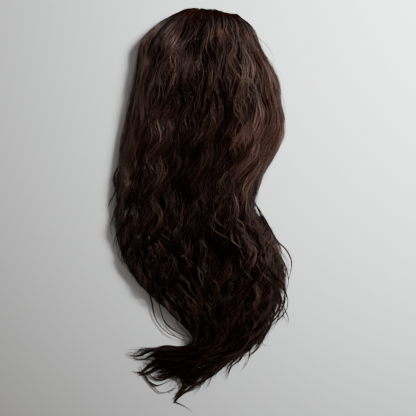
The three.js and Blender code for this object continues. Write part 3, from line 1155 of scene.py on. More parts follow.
@dataclass(frozen=True)
class Ranges:
    """The ranges that the groups and the bundles of every weft are drawn from.

    A span is from the least to the most, and a spread is that of a normal draw. Lengths are in millimetres.
    """

    slot: Span = (0.1, 0.9)  # Where in its slot a bundle lies
    late_share: float = 0.35  # The share of the outermost bundles that start late
    late: Span = (0.0, 0.14)  # How much later those start, as a share of the run
    last: Span = (0.945, 1.0)  # Where bundles end, as a share of the run
    shorter: Span = (0.0, 0.3)  # How much sooner the early ones end
    depth: Span = (-1.0, 1.0)  # How far a bundle's depth differs from its layer's
    raised: float = 1.2  # How much higher the loose ones lie
    wave_length: Span = (46.0, 66.0)  # The length of a group's waves
    phase: float = 0.35  # The spread of where in a wave its bundles start
    loose_phase: float = 4.0  # How many times further that spread goes for the loose ones
    loosen: float = 1.4  # The spread of how far bundles fall out of step
    swing: Span = (2.8, 5.2)  # How far a group swings sideways
    loose_swing: float = 0.3  # How much further its loose bundles swing, as a share
    lift: Span = (1.4, 3.2)  # How far a group swings up and down
    own: Span = (0.8, 1.25)  # How far a bundle swings and lifts, as a share of its group
    drift: Span = (0.015, 0.05)  # How far a group wanders, as an angle
    own_drift: Span = (0.0, 0.02)  # How much further its bundles do
    wander: float = 0.4  # The spread of where in that wandering they start
    flare: float = 3.0  # The spread of how far the tips bend aside
    edge_flare: float = 8.0  # How far early tips bend outwards at the edges
    tone: Span = (0.42, 0.15)  # How light bundles are, and the spread of that
    depth_shade: float = 0.1  # Painted shade: how much darker a layer is than the one over it
    edge_light: float = 0.17  # Painted light: how much lighter the edges are
    tone_limits: Span = (0.05, 0.9)  # The least and the most of all that


@dataclass(frozen=True)
class Shades:
    """How light the strands of a weft look, and how thin the hair is, by where they lie.

    An edge's ramp goes by how far round the section a strand lies, up to 1 at that edge's foot. The others
    go by the share of the run. Most of these paint light in: painted highlights on the heaps and patches,
    painted light through the thin edges, and painted shade in the front fold and below the crown.
    """

    cycles: float = 5.0  # How often a strand turns lighter and darker down the run
    change: float = 0.1  # How far it does
    own_start: float = 7.0  # How differently strands start on that
    heaps: float = 0.14  # Painted highlight: how much lighter the heaps of the whole hair are
    patches: float = 0.4  # Painted highlight and shade: how much lighter or darker the chosen patches are
    left_edge: Ramp = Ramp(0.65, 1.0, 0.2)  # Painted light: how much lighter the crown's left edge is
    right_edge: Ramp = Ramp(0.65, 1.0, 0.08)  # Painted light: how much lighter its right edge is
    crown_end: Ramp = Ramp(0.2, 0.42)  # Where that ends
    low_edge: Ramp = Ramp(0.5, 0.9, 0.06)  # Painted light: how much lighter the right edge is further down
    low_start: Ramp = Ramp(0.42, 0.5)  # Where that starts
    out_of_fold: Ramp = Ramp(0.003, 0.062)  # Where the hair comes out of the painted shade of the front fold
    in_fold: float = 0.3  # Painted shade: how much darker it is in the fold
    below_crown: Ramp = Ramp(0.38, 0.52, 0.17)  # Painted shade: how much darker the hair is below the crown
    thin_edge: Ramp = Ramp(0.6, 1.0, 0.55)  # Painted light through the thin edges of the crown
    thin_start: Ramp = Ramp(0.03, 0.12)  # Where that starts
    thin_end: Ramp = Ramp(0.28, 0.46)  # Where it ends
    thin_fold: float = 0.3  # Painted light through the lightest strands in the front fold
    fold_end: Ramp = Ramp(0.01, 0.075)  # Where that ends


class Grade(NamedTuple):
    """How finely strands are made: their sections, the sides of each, and its depth over its width."""

    steps: int
    sides: int
    flat: float


RANGES = Ranges()
SHADES = Shades()
GRADES = {
    Part.LOCKS: Grade(58, 4, 0.4),
    Part.LONG_FIBRES: Grade(66, 3, 0.8),
    Part.SHORT_FIBRES: Grade(28, 3, 1.0),
}


@dataclass
class Weft:
    """One weft: bundles of flat locks and fine fibres that wave together, round a dark core.

    Attributes:
        flow: The way the hair lies.
        node: The CAD node that it stands for.
        low: The spread of its left side.
        high: The spread of its right side.
        bundles: How many bundles it has.
        groups: How many groups the bundles keep to, which wave together at the crown.
        seed: The start of its random draws.
        locks_each: How many flat locks each bundle has.
        long_each: How many long fibres each has.
        short_each: How many short fibres each has.
        stray: How far bundles stray into the group beside theirs, in groups.
        layers: The depths at which its groups lie, in metres.
        layer_shares: The share of the groups at each depth.
        early: The share of the bundles that end well before the tail.
        loose: The share of the bundles that lie over the others and wave further.
        first_run: The share of the run where it starts.
        last_run: The share of the run where it ends.
        tucked_root: How thick strands are where they come out of the front fold, as a share.
        bare_root: How thick they are at a root that lies open.
        full: The share of their length where they are at their thickest.
        tip: Where they thin towards their tips, and how much.
        core_inset: How far its core lies inside the outside of the node, in metres.
    """

    flow: Flow
    node: str
    low: float
    high: float
    bundles: int
    groups: int
    seed: int
    locks_each: int = 2
    long_each: int = 9
    short_each: int = 8
    stray: float = 0.3
    layers: tuple[float, ...] = (0.0, 0.0016, 0.0034)
    layer_shares: tuple[float, ...] = (0.42, 0.32, 0.26)
    early: float = 0.3
    loose: float = 0.15
    first_run: float = -0.02
    last_run: float = 1.0
    tucked_root: float = 0.85
    bare_root: float = 0.3
    full: float = 0.08
    tip: Ramp = Ramp(0.7, 1.0, 0.9)
    core_inset: float = 0.0065

    def _bundles(self, draw: Draw) -> dict[str, Array]:
        """Draws what the strands of each bundle share, by the names of Strands.

        Args:
            draw: The random draws.

        Returns:
            A value for each bundle, by those names.
        """
        count, groups = self.bundles, self.groups
        left, right = self.flow.angle_of(self.low), self.flow.angle_of(self.high)
        slots = (np.arange(count) + draw.uniform(*RANGES.slot, count)) / count
        angle = left + (right - left) * slots
        edge = -np.cos(angle)
        layers = draw.choice(len(self.layers), groups, p=self.layer_shares)
        group = np.clip(slots * groups + draw.normal(0, self.stray, count), 0, groups - 1).astype(int)

        def by_group(low: float, high: float) -> Array:
            """A draw for each group, repeated for its bundles."""
            return draw.uniform(low, high, groups)[group]

        def own(low: float, high: float) -> Array:
            """A draw for each bundle."""
            return draw.uniform(low, high, count)

        layer = layers[group]
        loose = draw.random(count) < self.loose
        late = own(*RANGES.late) * (draw.random(count) < RANGES.late_share) * (layer == 0)
        ends_early = draw.random(count) < self.early
        last = self.last_run * (own(*RANGES.last) - ends_early * own(*RANGES.shorter))
        return {
            "angle": angle,
            "depth": np.array(self.layers)[layer] + (own(*RANGES.depth) - RANGES.raised * loose) * MM,
            "first": self.first_run + late,
            "last": last,
            "wave_length": by_group(*RANGES.wave_length) * MM,
            "phase": (
                by_group(0, TAU) + draw.normal(0, RANGES.phase, count) * (1 + RANGES.loose_phase * loose)
            ),
            "loosen": draw.normal(0, RANGES.loosen, count),
            "swing": by_group(*RANGES.swing) * own(*RANGES.own) * (1 + RANGES.loose_swing * loose) * MM,
            "lift": by_group(*RANGES.lift) * own(*RANGES.own) * MM,
            "drift": by_group(*RANGES.drift) + own(*RANGES.own_drift),
            "wander": by_group(0, TAU) + draw.normal(0, RANGES.wander, count),
            "flare": (draw.normal(0, RANGES.flare, count) + RANGES.edge_flare * edge * ends_early) * MM,
            # Each bundle's own random tone, with painted shade on the deeper layers and painted light at the
            # edges.
            "tone": np.clip(
                draw.normal(*RANGES.tone, count) - RANGES.depth_shade * layer + RANGES.edge_light * edge**2,
                *RANGES.tone_limits,
            ),
        }

    def _strands(self, shared: dict[str, Array], each: int, draw: Draw, **own: Array) -> Strands:
        """Strands that follow the bundles.

        Args:
            shared: What each bundle's strands share.
            each: How many strands each bundle has.
            draw: The random draws.
            **own: What each strand has of its own, by the names of Strands.

        Returns:
            The strands, each bundle's one after another.
        """
        total = self.bundles * each
        values = {name: np.repeat(value, each) for name, value in shared.items()}
        values |= {
            "astray": np.zeros(total),
            "start": values["first"],
            "end": values["last"],
            "spin": draw.uniform(0, TAU, total),
            "twist": draw.normal(0, 4.0, total),
            "lag": draw.normal(0, 0.3, total),
            "frizz": draw.uniform(0.1, 0.5, total) * MM,
            "frizz_length": draw.uniform(16, 34, total) * MM,
        }
        tone = values["tone"] + own.pop("tone")
        return Strands(**(values | own | {"tone": np.clip(tone, 0.02, 1)}))

    def _locks(self, shared: dict[str, Array], draw: Draw) -> Strands:
        """Draws the flat locks.

        Args:
            shared: What each bundle's strands share.
            draw: The random draws.

        Returns:
            The locks.
        """
        total = self.bundles * self.locks_each
        return self._strands(
            shared,
            self.locks_each,
            draw,
            depth=np.repeat(shared["depth"], self.locks_each) + 0.8 * MM,
            radius=draw.uniform(0.5, 1.8, total) * MM,
            thickness=draw.uniform(0.9, 1.7, total) * MM,
            tone=draw.normal(-0.12, 0.06, total),
        )

    def _long(self, shared: dict[str, Array], draw: Draw) -> Strands:
        """Draws the long fibres, some of which start late and end a little before or after their bundle.

        Args:
            shared: What each bundle's strands share.
            draw: The random draws.

        Returns:
            The fibres.
        """
        total = self.bundles * self.long_each
        strands = self._strands(
            shared,
            self.long_each,
            draw,
            astray=draw.normal(0, 0.028, total),
            radius=np.abs(draw.normal(0, 2.5, total)) * MM + 0.7 * MM,
            thickness=draw.uniform(0.24, 0.44, total) * MM,
            tone=draw.normal(0.05, 0.1, total),
        )
        late = draw.random(total) < 0.4
        delay = np.where(late, draw.uniform(0, 0.35, total), draw.uniform(0, 0.006, total))
        strands.start = strands.start + delay
        strands.end = np.minimum(strands.end + draw.normal(0, 0.012, total), 1.005 * self.last_run)
        return strands

    def _short(self, shared: dict[str, Array], draw: Draw) -> Strands:
        """Draws the short fibres, which stray further and frizz more, a few of them much more.

        Args:
            shared: What each bundle's strands share.
            draw: The random draws.

        Returns:
            The fibres.
        """
        total = self.bundles * self.short_each
        strands = self._strands(
            shared,
            self.short_each,
            draw,
            astray=draw.normal(0, 0.05, total),
            radius=draw.uniform(1.0, 5.0, total) * MM,
            thickness=draw.uniform(0.2, 0.38, total) * MM,
            frizz=draw.uniform(0.3, 1.1, total) * np.where(draw.random(total) < 0.16, 2.6, 1.0) * MM,
            tone=draw.normal(0.14, 0.15, total),
        )
        whole = strands.end - strands.start
        length = draw.uniform(0.12, 0.34, total)
        strands.start = strands.start + whole * draw.uniform(0, 1, total) * (1 - length)
        strands.end = strands.start + whole * length
        return strands

    def _tubes(self, strands: Strands, grade: Grade) -> Tubes:
        """Tapering tubes along the strands.

        Args:
            strands: The strands.
            grade: How finely they are made.

        Returns:
            The tubes.
        """
        run = strands.runs(grade.steps)
        points, outward = strands.paths(self.flow, run)
        share = np.linspace(0, 1, grade.steps)[None, :]
        root = np.where(strands.start < 0, self.tucked_root, self.bare_root)[:, None]
        width = strands.thickness[:, None] * tapered(share, root, self.full, self.tip)
        tones = self._tones(strands.columns(), run, points)
        thin = self._painted_glow(strands.columns(), run)
        return Tubes(points, outward, width, width * grade.flat, tones, grade.sides, thin)

    def _painted_glow(self, own: Strands, run: Array) -> Array:
        """How thin the hair is round strands in columns, from 0 to 1, for painted light coming through it.

        Args:
            own: The strands, in columns.
            run: Shares of the run, a row for each strand.

        Returns:
            A value for each share.
        """
        edge = np.abs(np.cos(own.angle + own.astray))
        sides = SHADES.thin_edge.of(edge) * SHADES.thin_start.of(run) * (1 - SHADES.thin_end.of(run))
        return sides + SHADES.thin_fold * own.tone * (1 - SHADES.fold_end.of(run))

    def _tones(self, own: Strands, run: Array, points: Array) -> Array:
        """How light strands in columns are, from 0 to 1, with painted light and shade laid over it.

        Args:
            own: The strands, in columns.
            run: Shares of the run, a row for each strand.
            points: The places there.

        Returns:
            A value for each place.
        """
        tone = own.tone + SHADES.change * np.sin(TAU * run * SHADES.cycles + SHADES.own_start * own.spin)
        # Painted highlight on the heaps of the whole hair.
        tone = tone + SHADES.heaps * self.flow.mound(run, own.angle)
        # Painted light through the edges of the crown, and through the right edge further down.
        left = -np.cos(own.angle)
        edge = (SHADES.left_edge.of(left) + SHADES.right_edge.of(-left)) * (1 - SHADES.crown_end.of(run))
        edge = edge + SHADES.low_edge.of(-left) * SHADES.low_start.of(run)
        # Painted shade in the front fold and below the crown.
        unshaded = SHADES.out_of_fold.of(run)
        dark = SHADES.in_fold * (1 - unshaded) + SHADES.below_crown.of(run)
        # Painted highlights and painted shade at the chosen patches.
        return np.clip((tone + SHADES.patches * patched(points) + edge) * unshaded - dark, 0, 1)

    def build(self, finishes: dict[Part, Material]) -> list[Object]:
        """Builds the weft.

        Args:
            finishes: The finish of each part.

        Returns:
            The pieces that it made.
        """
        name = self.node.removesuffix("_hair")
        draw = np.random.default_rng(self.seed)
        shared = self._bundles(draw)
        made = [Core(self.flow, self.node, self.core_inset).build(finishes[Part.CORE])]
        kinds = {Part.LOCKS: self._locks, Part.LONG_FIBRES: self._long, Part.SHORT_FIBRES: self._short}
        for part, drawn in kinds.items():
            tubes = self._tubes(drawn(shared, draw), GRADES[part])
            piece = from_mesh(tubes.mesh(f"{name}_{part.value}"))
            made.append(declare(piece, finishes[part], self.node))
        return made


# How near to a plane a corner of a cap's primitive may lie to count as in it, in metres.
NEAR = 0.0001


@dataclass
class NetCap:
    """The domed net that holds the bun, with the rows that the wefts are sewn to. Lengths are in metres.

    Attributes:
        radius: Its radius.
        rim_height: How high its upright rim stands.
        height: Its height.
        cloth: How thick its cloth is.
        cord: How thick the cords of its net are.
        cloth_facets: How many facets go round the cloth.
        net_facets: How many meshes of the net go round it.
        rows: The turns up the dome, in degrees, at which the sewn rows lie.
        row_cord: How thick a sewn row is, as a share of a cord.
        stitches: How many stitches a row has.
        stitch_flat: How low each second stitch lies, as a share of its height.
    """

    radius: float = 0.0535
    rim_height: float = 0.009
    height: float = 0.0372
    cloth: float = 0.0008
    cord: float = 0.0005
    cloth_facets: int = 64
    net_facets: int = 44
    rows: tuple[float, ...] = (12.0, 28.0, 44.0, 60.0)
    row_cord: float = 1.4
    stitches: int = 96
    stitch_flat: float = 0.6

    def _dome(self, name: str, facets: int, swell: float) -> Object:
        """Makes an open dome with an upright rim.

        Args:
            name: Its name.
            facets: How many facets go round it. A whole ball of them would have half as many rows.
            swell: How far it lies outside the cap's radius.

        Returns:
            The dome, as a thin surface.
        """
        deselect()
        radius = self.radius + swell
        bpy.ops.mesh.primitive_uv_sphere_add(segments=facets, ring_count=facets // 2, radius=radius)
        made = bpy.context.object
        made.name = name
        bpy.ops.object.mode_set(mode="EDIT")
        bpy.ops.mesh.select_mode(type="VERT")
        select_where(lambda place: place.z < -NEAR)
        bpy.ops.mesh.delete(type="VERT")
        bpy.ops.mesh.select_all(action="SELECT")
        rise = (self.height - self.rim_height) / self.radius
        bpy.ops.transform.resize(value=(1, 1, rise), center_override=(0, 0, 0))
        select_where(lambda place: place.z < NEAR)
        down = (0, 0, self.cloth - self.rim_height)
        bpy.ops.mesh.extrude_edges_move(TRANSFORM_OT_translate={"value": down})
        bpy.ops.mesh.select_all(action="SELECT")
        bpy.ops.transform.translate(value=(*middle_of("cap"), self.rim_height))
        bpy.ops.object.mode_set(mode="OBJECT")
        return made

    def _cloth(self) -> Object:
        """Makes the thin cloth of the dome."""
        made = self._dome("cap_cloth", self.cloth_facets, -self.cord)
        thick = made.modifiers.new("thick", "SOLIDIFY")
        thick.thickness = self.cloth
        thick.offset = -1
        apply(made)
        bpy.ops.object.shade_smooth_by_angle()
        return made

    def _net(self) -> Object:
        """Makes the cords of the net, which cross on the outside of the cloth."""
        made = self._dome("cap_net", self.net_facets, 0.0)
        cords = made.modifiers.new("cords", "WIREFRAME")
        cords.thickness = self.cord
        apply(made)
        return made

    def _row(self, turn: float) -> Object:
        """Makes one sewn row.

        Args:
            turn: How far up the dome it lies, in degrees.

        Returns:
            The row, a ring with a gathered edge.
        """
        deselect()
        angle = math.radians(turn)
        ring = (self.radius + self.cord) * math.cos(angle)
        high = self.rim_height + (self.height - self.rim_height) * math.sin(angle)
        bpy.ops.mesh.primitive_torus_add(
            major_segments=self.stitches,
            minor_segments=8,
            major_radius=ring,
            minor_radius=self.cord * self.row_cord,
        )
        made = bpy.context.object
        made.name = f"cap_row_{turn:.0f}"
        bpy.ops.object.mode_set(mode="EDIT")
        bpy.ops.mesh.select_mode(type="VERT")
        select_where(lambda place: round(math.atan2(place.y, place.x) / TAU * self.stitches) % 2 == 0)
        bpy.ops.transform.resize(value=(1.0, 1.0, self.stitch_flat), center_override=(0, 0, 0))
        bpy.ops.mesh.select_all(action="SELECT")
        bpy.ops.transform.translate(value=(*middle_of("cap"), high))
        bpy.ops.object.mode_set(mode="OBJECT")
        bpy.ops.object.shade_smooth()
        return made

    def build(self, finish: Material) -> list[Object]:
        """Builds the cap.

        Args:
            finish: The finish of all of it.

        Returns:
            The pieces that it made.
        """
        parts = [self._cloth(), self._net()]
        parts += [self._row(turn) for turn in self.rows]
        for made in parts:
            settle(made)
            declare(made, finish, "cap")
        return parts


@dataclass
class GatheredBand:
    """The elastic band round the cap's mouth, gathered in small folds.

    Attributes:
        cap: The cap that it goes round.
        gap: How far its inside lies off the cap's radius, in metres.
        gathers: How many folds go round it.
        facets: How many facets go round each fold.
        fold: How far each stands out, as a share of its radius.
        filled: How much of the room between its inside and its outside it fills, ungathered.
        rise: How much of its node's height it has.
    """

    cap: NetCap
    gap: float = 0.0012
    gathers: int = 64
    facets: int = 4
    fold: float = 0.008
    filled: float = 0.8
    rise: float = 0.96

    def build(self, finish: Material) -> list[Object]:
        """Builds the band.

        Args:
            finish: Its finish.

        Returns:
            The one piece that it made.
        """
        low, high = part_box("mouth_band")
        outside = (high[0] - low[0]) / 2
        inside = self.cap.radius + self.gap
        thickness = outside - inside
        height = high[2] - low[2]
        facets = self.gathers * self.facets
        deselect()
        bpy.ops.mesh.primitive_torus_add(
            major_segments=facets,
            minor_segments=12,
            major_radius=(outside + inside) / 2 - self.fold * outside / 2,
            minor_radius=thickness / 2 * self.filled,
        )
        made = bpy.context.object
        made.name = "gathered_band"
        bpy.ops.object.mode_set(mode="EDIT")
        bpy.ops.mesh.select_mode(type="VERT")
        select_where(lambda place: round(math.atan2(place.y, place.x) / TAU * facets) % self.facets == 0)
        bpy.ops.transform.resize(value=(1 + self.fold, 1 + self.fold, 1), center_override=(0, 0, 0))
        bpy.ops.mesh.select_all(action="SELECT")
        tall = height / (thickness * self.filled) * self.rise
        bpy.ops.transform.resize(value=(1, 1, tall), center_override=(0, 0, 0))
        bpy.ops.transform.translate(value=(*middle_of("mouth_band"), height / 2))
        bpy.ops.object.mode_set(mode="OBJECT")
        bpy.ops.object.shade_smooth()
        settle(made)
        return [declare(made, finish, "mouth_band")]


@dataclass
class Comb:
    """The comb sewn inside the cap, with softened edges.

    Attributes:
        rounding: How far its edges are rounded, in metres.
    """

    rounding: float = 0.0005

    def build(self, finish: Material) -> list[Object]:
        """Builds the comb.

        Args:
            finish: Its finish.

        Returns:
            The one piece that it made.
        """
        made = copy_of("comb", "comb_rounded")
        soft = made.modifiers.new("soft", "BEVEL")
        soft.width = self.rounding
        soft.segments = 3
        soft.limit_method = "ANGLE"
        apply(made)
        bpy.ops.object.shade_smooth_by_angle()
        return [declare(made, finish, "comb")]


class Wisp(NamedTuple):
    """A thin lock that has left the rest.

    Attributes:
        strands: How many strands it has.
        spread: How far they lie apart, in millimetres.
        thickness: Their half width, in millimetres.
        path: The squares of the picture that it passes through, across and down from its top left corner,
            and its height in millimetres there.
        node: The weft that it grows from.
    """

    strands: int
    spread: float
    thickness: float
    path: tuple[Place, ...]
    node: str = "right_weft_hair"


WISPS = (
    # The thin ends that fan out at the tail's left tip.
    Wisp(12, 2.2, 0.45, (
        (200, 356, 14), (184.6, 349, 11), (166, 345.5, 7), (152, 350, 4), (137, 356, 2), (122, 353, 1),
    )),
    Wisp(12, 2.4, 0.4, (
        (204, 362, 12), (184, 354, 9), (165, 348, 6), (150, 356, 4), (143, 359, 2), (124, 357, 1),
    )),
    Wisp(16, 3.4, 0.45, (
        (210, 372, 12), (188, 360, 9), (166, 356, 6), (150, 364, 4), (141, 372, 2), (131, 371, 1),
    )),
    Wisp(14, 3.0, 0.4, (
        (212, 374, 10), (190, 366, 8), (168, 360, 6), (152, 365, 4), (144, 371, 2), (136, 378, 1),
    )),
    # The small loops between them, at the lower left.
    Wisp(7, 1.0, 0.4, (
        (140, 366, 3), (146, 378, 3), (153, 386, 3), (160, 392, 3), (168, 391, 4), (180, 383, 6),
    )),
    Wisp(7, 1.2, 0.4, (
        (143, 372, 3), (149, 381, 3), (157, 385, 3), (166, 382, 4), (176, 376, 6),
    )),
    Wisp(7, 1.4, 0.4, (
        (144, 368, 3), (152, 377, 3), (160, 380, 3), (170, 376, 5), (182, 370, 8),
    )),
    # The ends that hang below the tail.
    Wisp(9, 1.5, 0.4, (
        (222, 368, 12), (203, 380, 9), (190, 388, 6), (180, 396, 4), (175, 401, 2), (183, 405, 1),
        (192, 411, 1),
    )),
    Wisp(14, 2.6, 0.4, (
        (200, 374, 10), (188, 384, 6), (180, 393, 4), (176, 400, 2), (173, 404, 1),
    )),
    Wisp(12, 3.2, 0.4, (
        (190, 352, 12), (180, 372, 9), (184, 384, 6), (178, 394, 3), (171, 401, 1),
    )),
    # The fuller locks that carry the tail to its tip.
    Wisp(26, 5.0, 0.6, (
        (207, 346, 15), (188, 351, 12), (172, 351, 9), (161, 356, 6), (154, 364, 4),
    )),
    Wisp(28, 5.0, 0.6, (
        (210, 358, 13), (190, 362, 10), (172, 362, 8), (158, 367, 5), (148, 373, 2), (137, 375, 1),
    )),
    Wisp(28, 5.0, 0.6, (
        (212, 368, 12), (194, 372, 9), (178, 372, 8), (164, 376, 5), (153, 377, 3),
    )),
    # The locks that cross the inner turn of the tail.
    Wisp(7, 1.0, 0.5, (
        (148, 288, 14), (152, 302, 7), (154, 314, 5), (159, 324, 4), (167, 332, 5), (180, 338, 7),
        (194, 342, 12),
    )),
    Wisp(6, 0.9, 0.5, (
        (158, 296, 14), (161, 310, 7), (164, 320, 5), (171, 328, 5), (182, 334, 8), (196, 339, 12),
    )),
    Wisp(5, 1.1, 0.35, (
        (156, 296, 14), (166, 307, 10), (176, 309, 9), (185, 314, 9), (194, 319, 11), (204, 326, 14),
    )),
    Wisp(5, 1.2, 0.35, (
        (186, 304, 16), (191, 316, 11), (190, 327, 10), (193, 336, 11), (199, 345, 14),
    )),
    # The loop that stands off the right edge.
    Wisp(14, 1.5, 0.5, (
        (256, 206, 26), (265, 220, 16), (271, 231, 12), (277, 241, 9), (286, 250, 7), (291, 260, 6),
        (291, 268, 6), (289, 277, 7), (285, 293, 10),
    )),
    Wisp(12, 1.8, 0.5, (
        (252, 200, 28), (262, 218, 18), (267, 229, 14), (272, 243, 11), (279, 255, 9), (285, 266, 8),
        (288, 281, 8), (284, 296, 10),
    )),
    # The thin curls down the right edge, below that loop.
    Wisp(6, 1.2, 0.35, (
        (270, 278, 24), (279, 294, 16), (284, 308, 8), (288, 318, 4), (287, 328, 2),
    )),
    Wisp(6, 1.2, 0.35, (
        (268, 284, 24), (277, 298, 14), (283, 312, 7), (281, 325, 2),
    )),
    Wisp(6, 1.2, 0.35, (
        (270, 290, 22), (279, 306, 12), (277, 320, 7), (270, 334, 2),
    )),
    # The fuller curls that round the lower right edge, down to the tail.
    Wisp(12, 2.2, 0.45, (
        (262, 262, 28), (274, 274, 22), (284, 287, 14), (284, 302, 9), (277, 316, 7), (266, 327, 9),
        (258, 336, 12),
    )),
    Wisp(12, 2.4, 0.45, (
        (258, 270, 28), (272, 284, 22), (280, 298, 15), (276, 312, 11), (266, 322, 10), (262, 336, 6),
    )),
    Wisp(9, 1.8, 0.4, (
        (262, 290, 24), (273, 306, 14), (272, 320, 9), (264, 334, 7), (260, 347, 3),
    )),
    Wisp(9, 1.8, 0.4, (
        (250, 300, 24), (263, 316, 14), (262, 332, 9), (252, 344, 8), (248, 358, 3),
    )),
    Wisp(9, 1.8, 0.4, (
        (246, 310, 22), (256, 328, 13), (252, 344, 9), (241, 355, 8), (236, 371, 3),
    )),
    Wisp(9, 1.8, 0.4, (
        (236, 322, 20), (244, 342, 12), (238, 356, 8), (228, 366, 6), (224, 380, 2),
    )),
    Wisp(9, 1.8, 0.4, (
        (226, 340, 18), (230, 356, 12), (220, 368, 9), (206, 378, 7), (194, 388, 3),
    )),
    # Thinner ones that stand further off it.
    Wisp(8, 1.3, 0.4, (
        (262, 268, 30), (276, 282, 18), (287, 296, 8), (286, 310, 5), (276, 322, 4), (264, 331, 5),
    )),
    Wisp(8, 1.3, 0.4, (
        (254, 296, 26), (268, 312, 14), (270, 326, 6), (262, 338, 4), (256, 350, 4), (248, 352, 6),
    )),
    Wisp(7, 1.3, 0.38, (
        (228, 330, 22), (242, 346, 11), (241, 358, 6), (232, 366, 4), (228, 376, 2),
    )),
    # The locks that fall into the tail from above.
    Wisp(9, 2.0, 0.4, (
        (212, 330, 24), (216, 344, 19), (209, 357, 15), (210, 368, 9), (203, 380, 5),
    )),
    Wisp(9, 2.0, 0.4, (
        (204, 322, 24), (208, 336, 20), (201, 350, 16), (200, 362, 13), (192, 374, 8), (186, 386, 4),
    )),
    Wisp(9, 2.0, 0.4, (
        (220, 320, 26), (226, 334, 20), (220, 348, 16), (222, 360, 10), (214, 374, 5),
    )),
    # Single ends at the lower right.
    Wisp(5, 1.2, 0.3, (
        (266, 316, 16), (267, 330, 9), (262, 343, 4), (269, 346, 1),
    )),
    Wisp(6, 1.4, 0.3, (
        (252, 330, 16), (250, 348, 9), (248, 360, 4), (240, 373, 1),
    )),
    Wisp(6, 1.4, 0.3, (
        (240, 345, 14), (234, 358, 9), (229, 370, 4), (226, 382, 1),
    )),
    Wisp(5, 1.2, 0.3, (
        (262, 322, 16), (262, 338, 9), (254, 352, 4), (247, 359, 1),
    )),
    # The loop and the ends at the left edge.
    Wisp(11, 1.1, 0.45, (
        (130, 138, 14), (123, 160, 8), (117, 170, 6), (114, 178, 5), (115, 186, 5), (118, 194, 6),
        (117, 204, 6), (115, 212, 6), (120, 226, 9),
    ), "left_weft_hair"),
    Wisp(9, 1.3, 0.4, (
        (132, 216, 16), (122, 230, 9), (122, 241, 5), (122, 250, 3), (121, 262, 1),
    ), "left_weft_hair"),
    Wisp(9, 1.3, 0.4, (
        (134, 222, 16), (125, 238, 9), (124, 250, 5), (129, 262, 3), (131, 274, 1),
    ), "left_weft_hair"),
    # The lock that leaves the crown at the upper right.
    Wisp(6, 0.9, 0.35, (
        (250, 36, 30), (256.5, 40, 27), (261, 43, 25), (268, 50, 21), (272, 57, 18), (274, 68, 18),
    )),
)


@dataclass(frozen=True)
class Loose:
    """A kind of loose locks on the hair.

    Attributes:
        name: The name of their piece.
        node: The weft that they belong to.
        locks: How many there are.
        run: Where they begin along the run, from the least to the most.
        length: How much of the run they cover.
        angle: How far round the section from that foot they begin.
        foot: The angle of the foot that they fall towards.
        falls: How far they fall to the foot, as a share.
        sway: How far they swing to each side, in millimetres.
        each: How many strands a lock has.
        steps: How many sections a strand has.
        tone: How light they are.
    """

    name: str
    node: str
    locks: int
    run: Span
    length: Span
    angle: Span
    foot: float = 0.0
    falls: float = 1.0
    sway: Span = (1.6, 3.8)
    each: int = 6
    steps: int = 28
    tone: float = 0.5


LOOSE_LOCKS = (
    Loose(
        "right_hanging",
        "right_weft_hair",
        locks=36,
        run=(0.47, 0.86),
        length=(0.08, 0.15),
        angle=(0.4, 1.0),
        tone=0.47,
    ),
    Loose(
        "left_hanging",
        "left_weft_hair",
        locks=12,
        run=(0.3, 0.56),
        length=(0.12, 0.2),
        angle=(-0.9, -0.4),
        foot=math.pi,
        each=5,
    ),
    Loose(
        "right_curls",
        "right_weft_hair",
        locks=14,
        run=(0.42, 0.68),
        length=(0.12, 0.2),
        angle=(0.4, 1.4),
        falls=0.25,
        sway=(3.0, 6.0),
        steps=36,
        tone=0.52,
    ),
    Loose(
        "left_curls",
        "left_weft_hair",
        locks=10,
        run=(0.4, 0.66),
        length=(0.12, 0.2),
        angle=(1.8, 2.7),
        falls=0.1,
        sway=(3.0, 6.0),
        each=5,
        steps=36,
    ),
    Loose(
        "tail_curls",
        "top_weft_hair",
        locks=10,
        run=(0.68, 0.82),
        length=(0.1, 0.16),
        angle=(0.7, 2.3),
        falls=0.1,
        sway=(2.5, 5.0),
        each=5,
        steps=30,
    ),
)


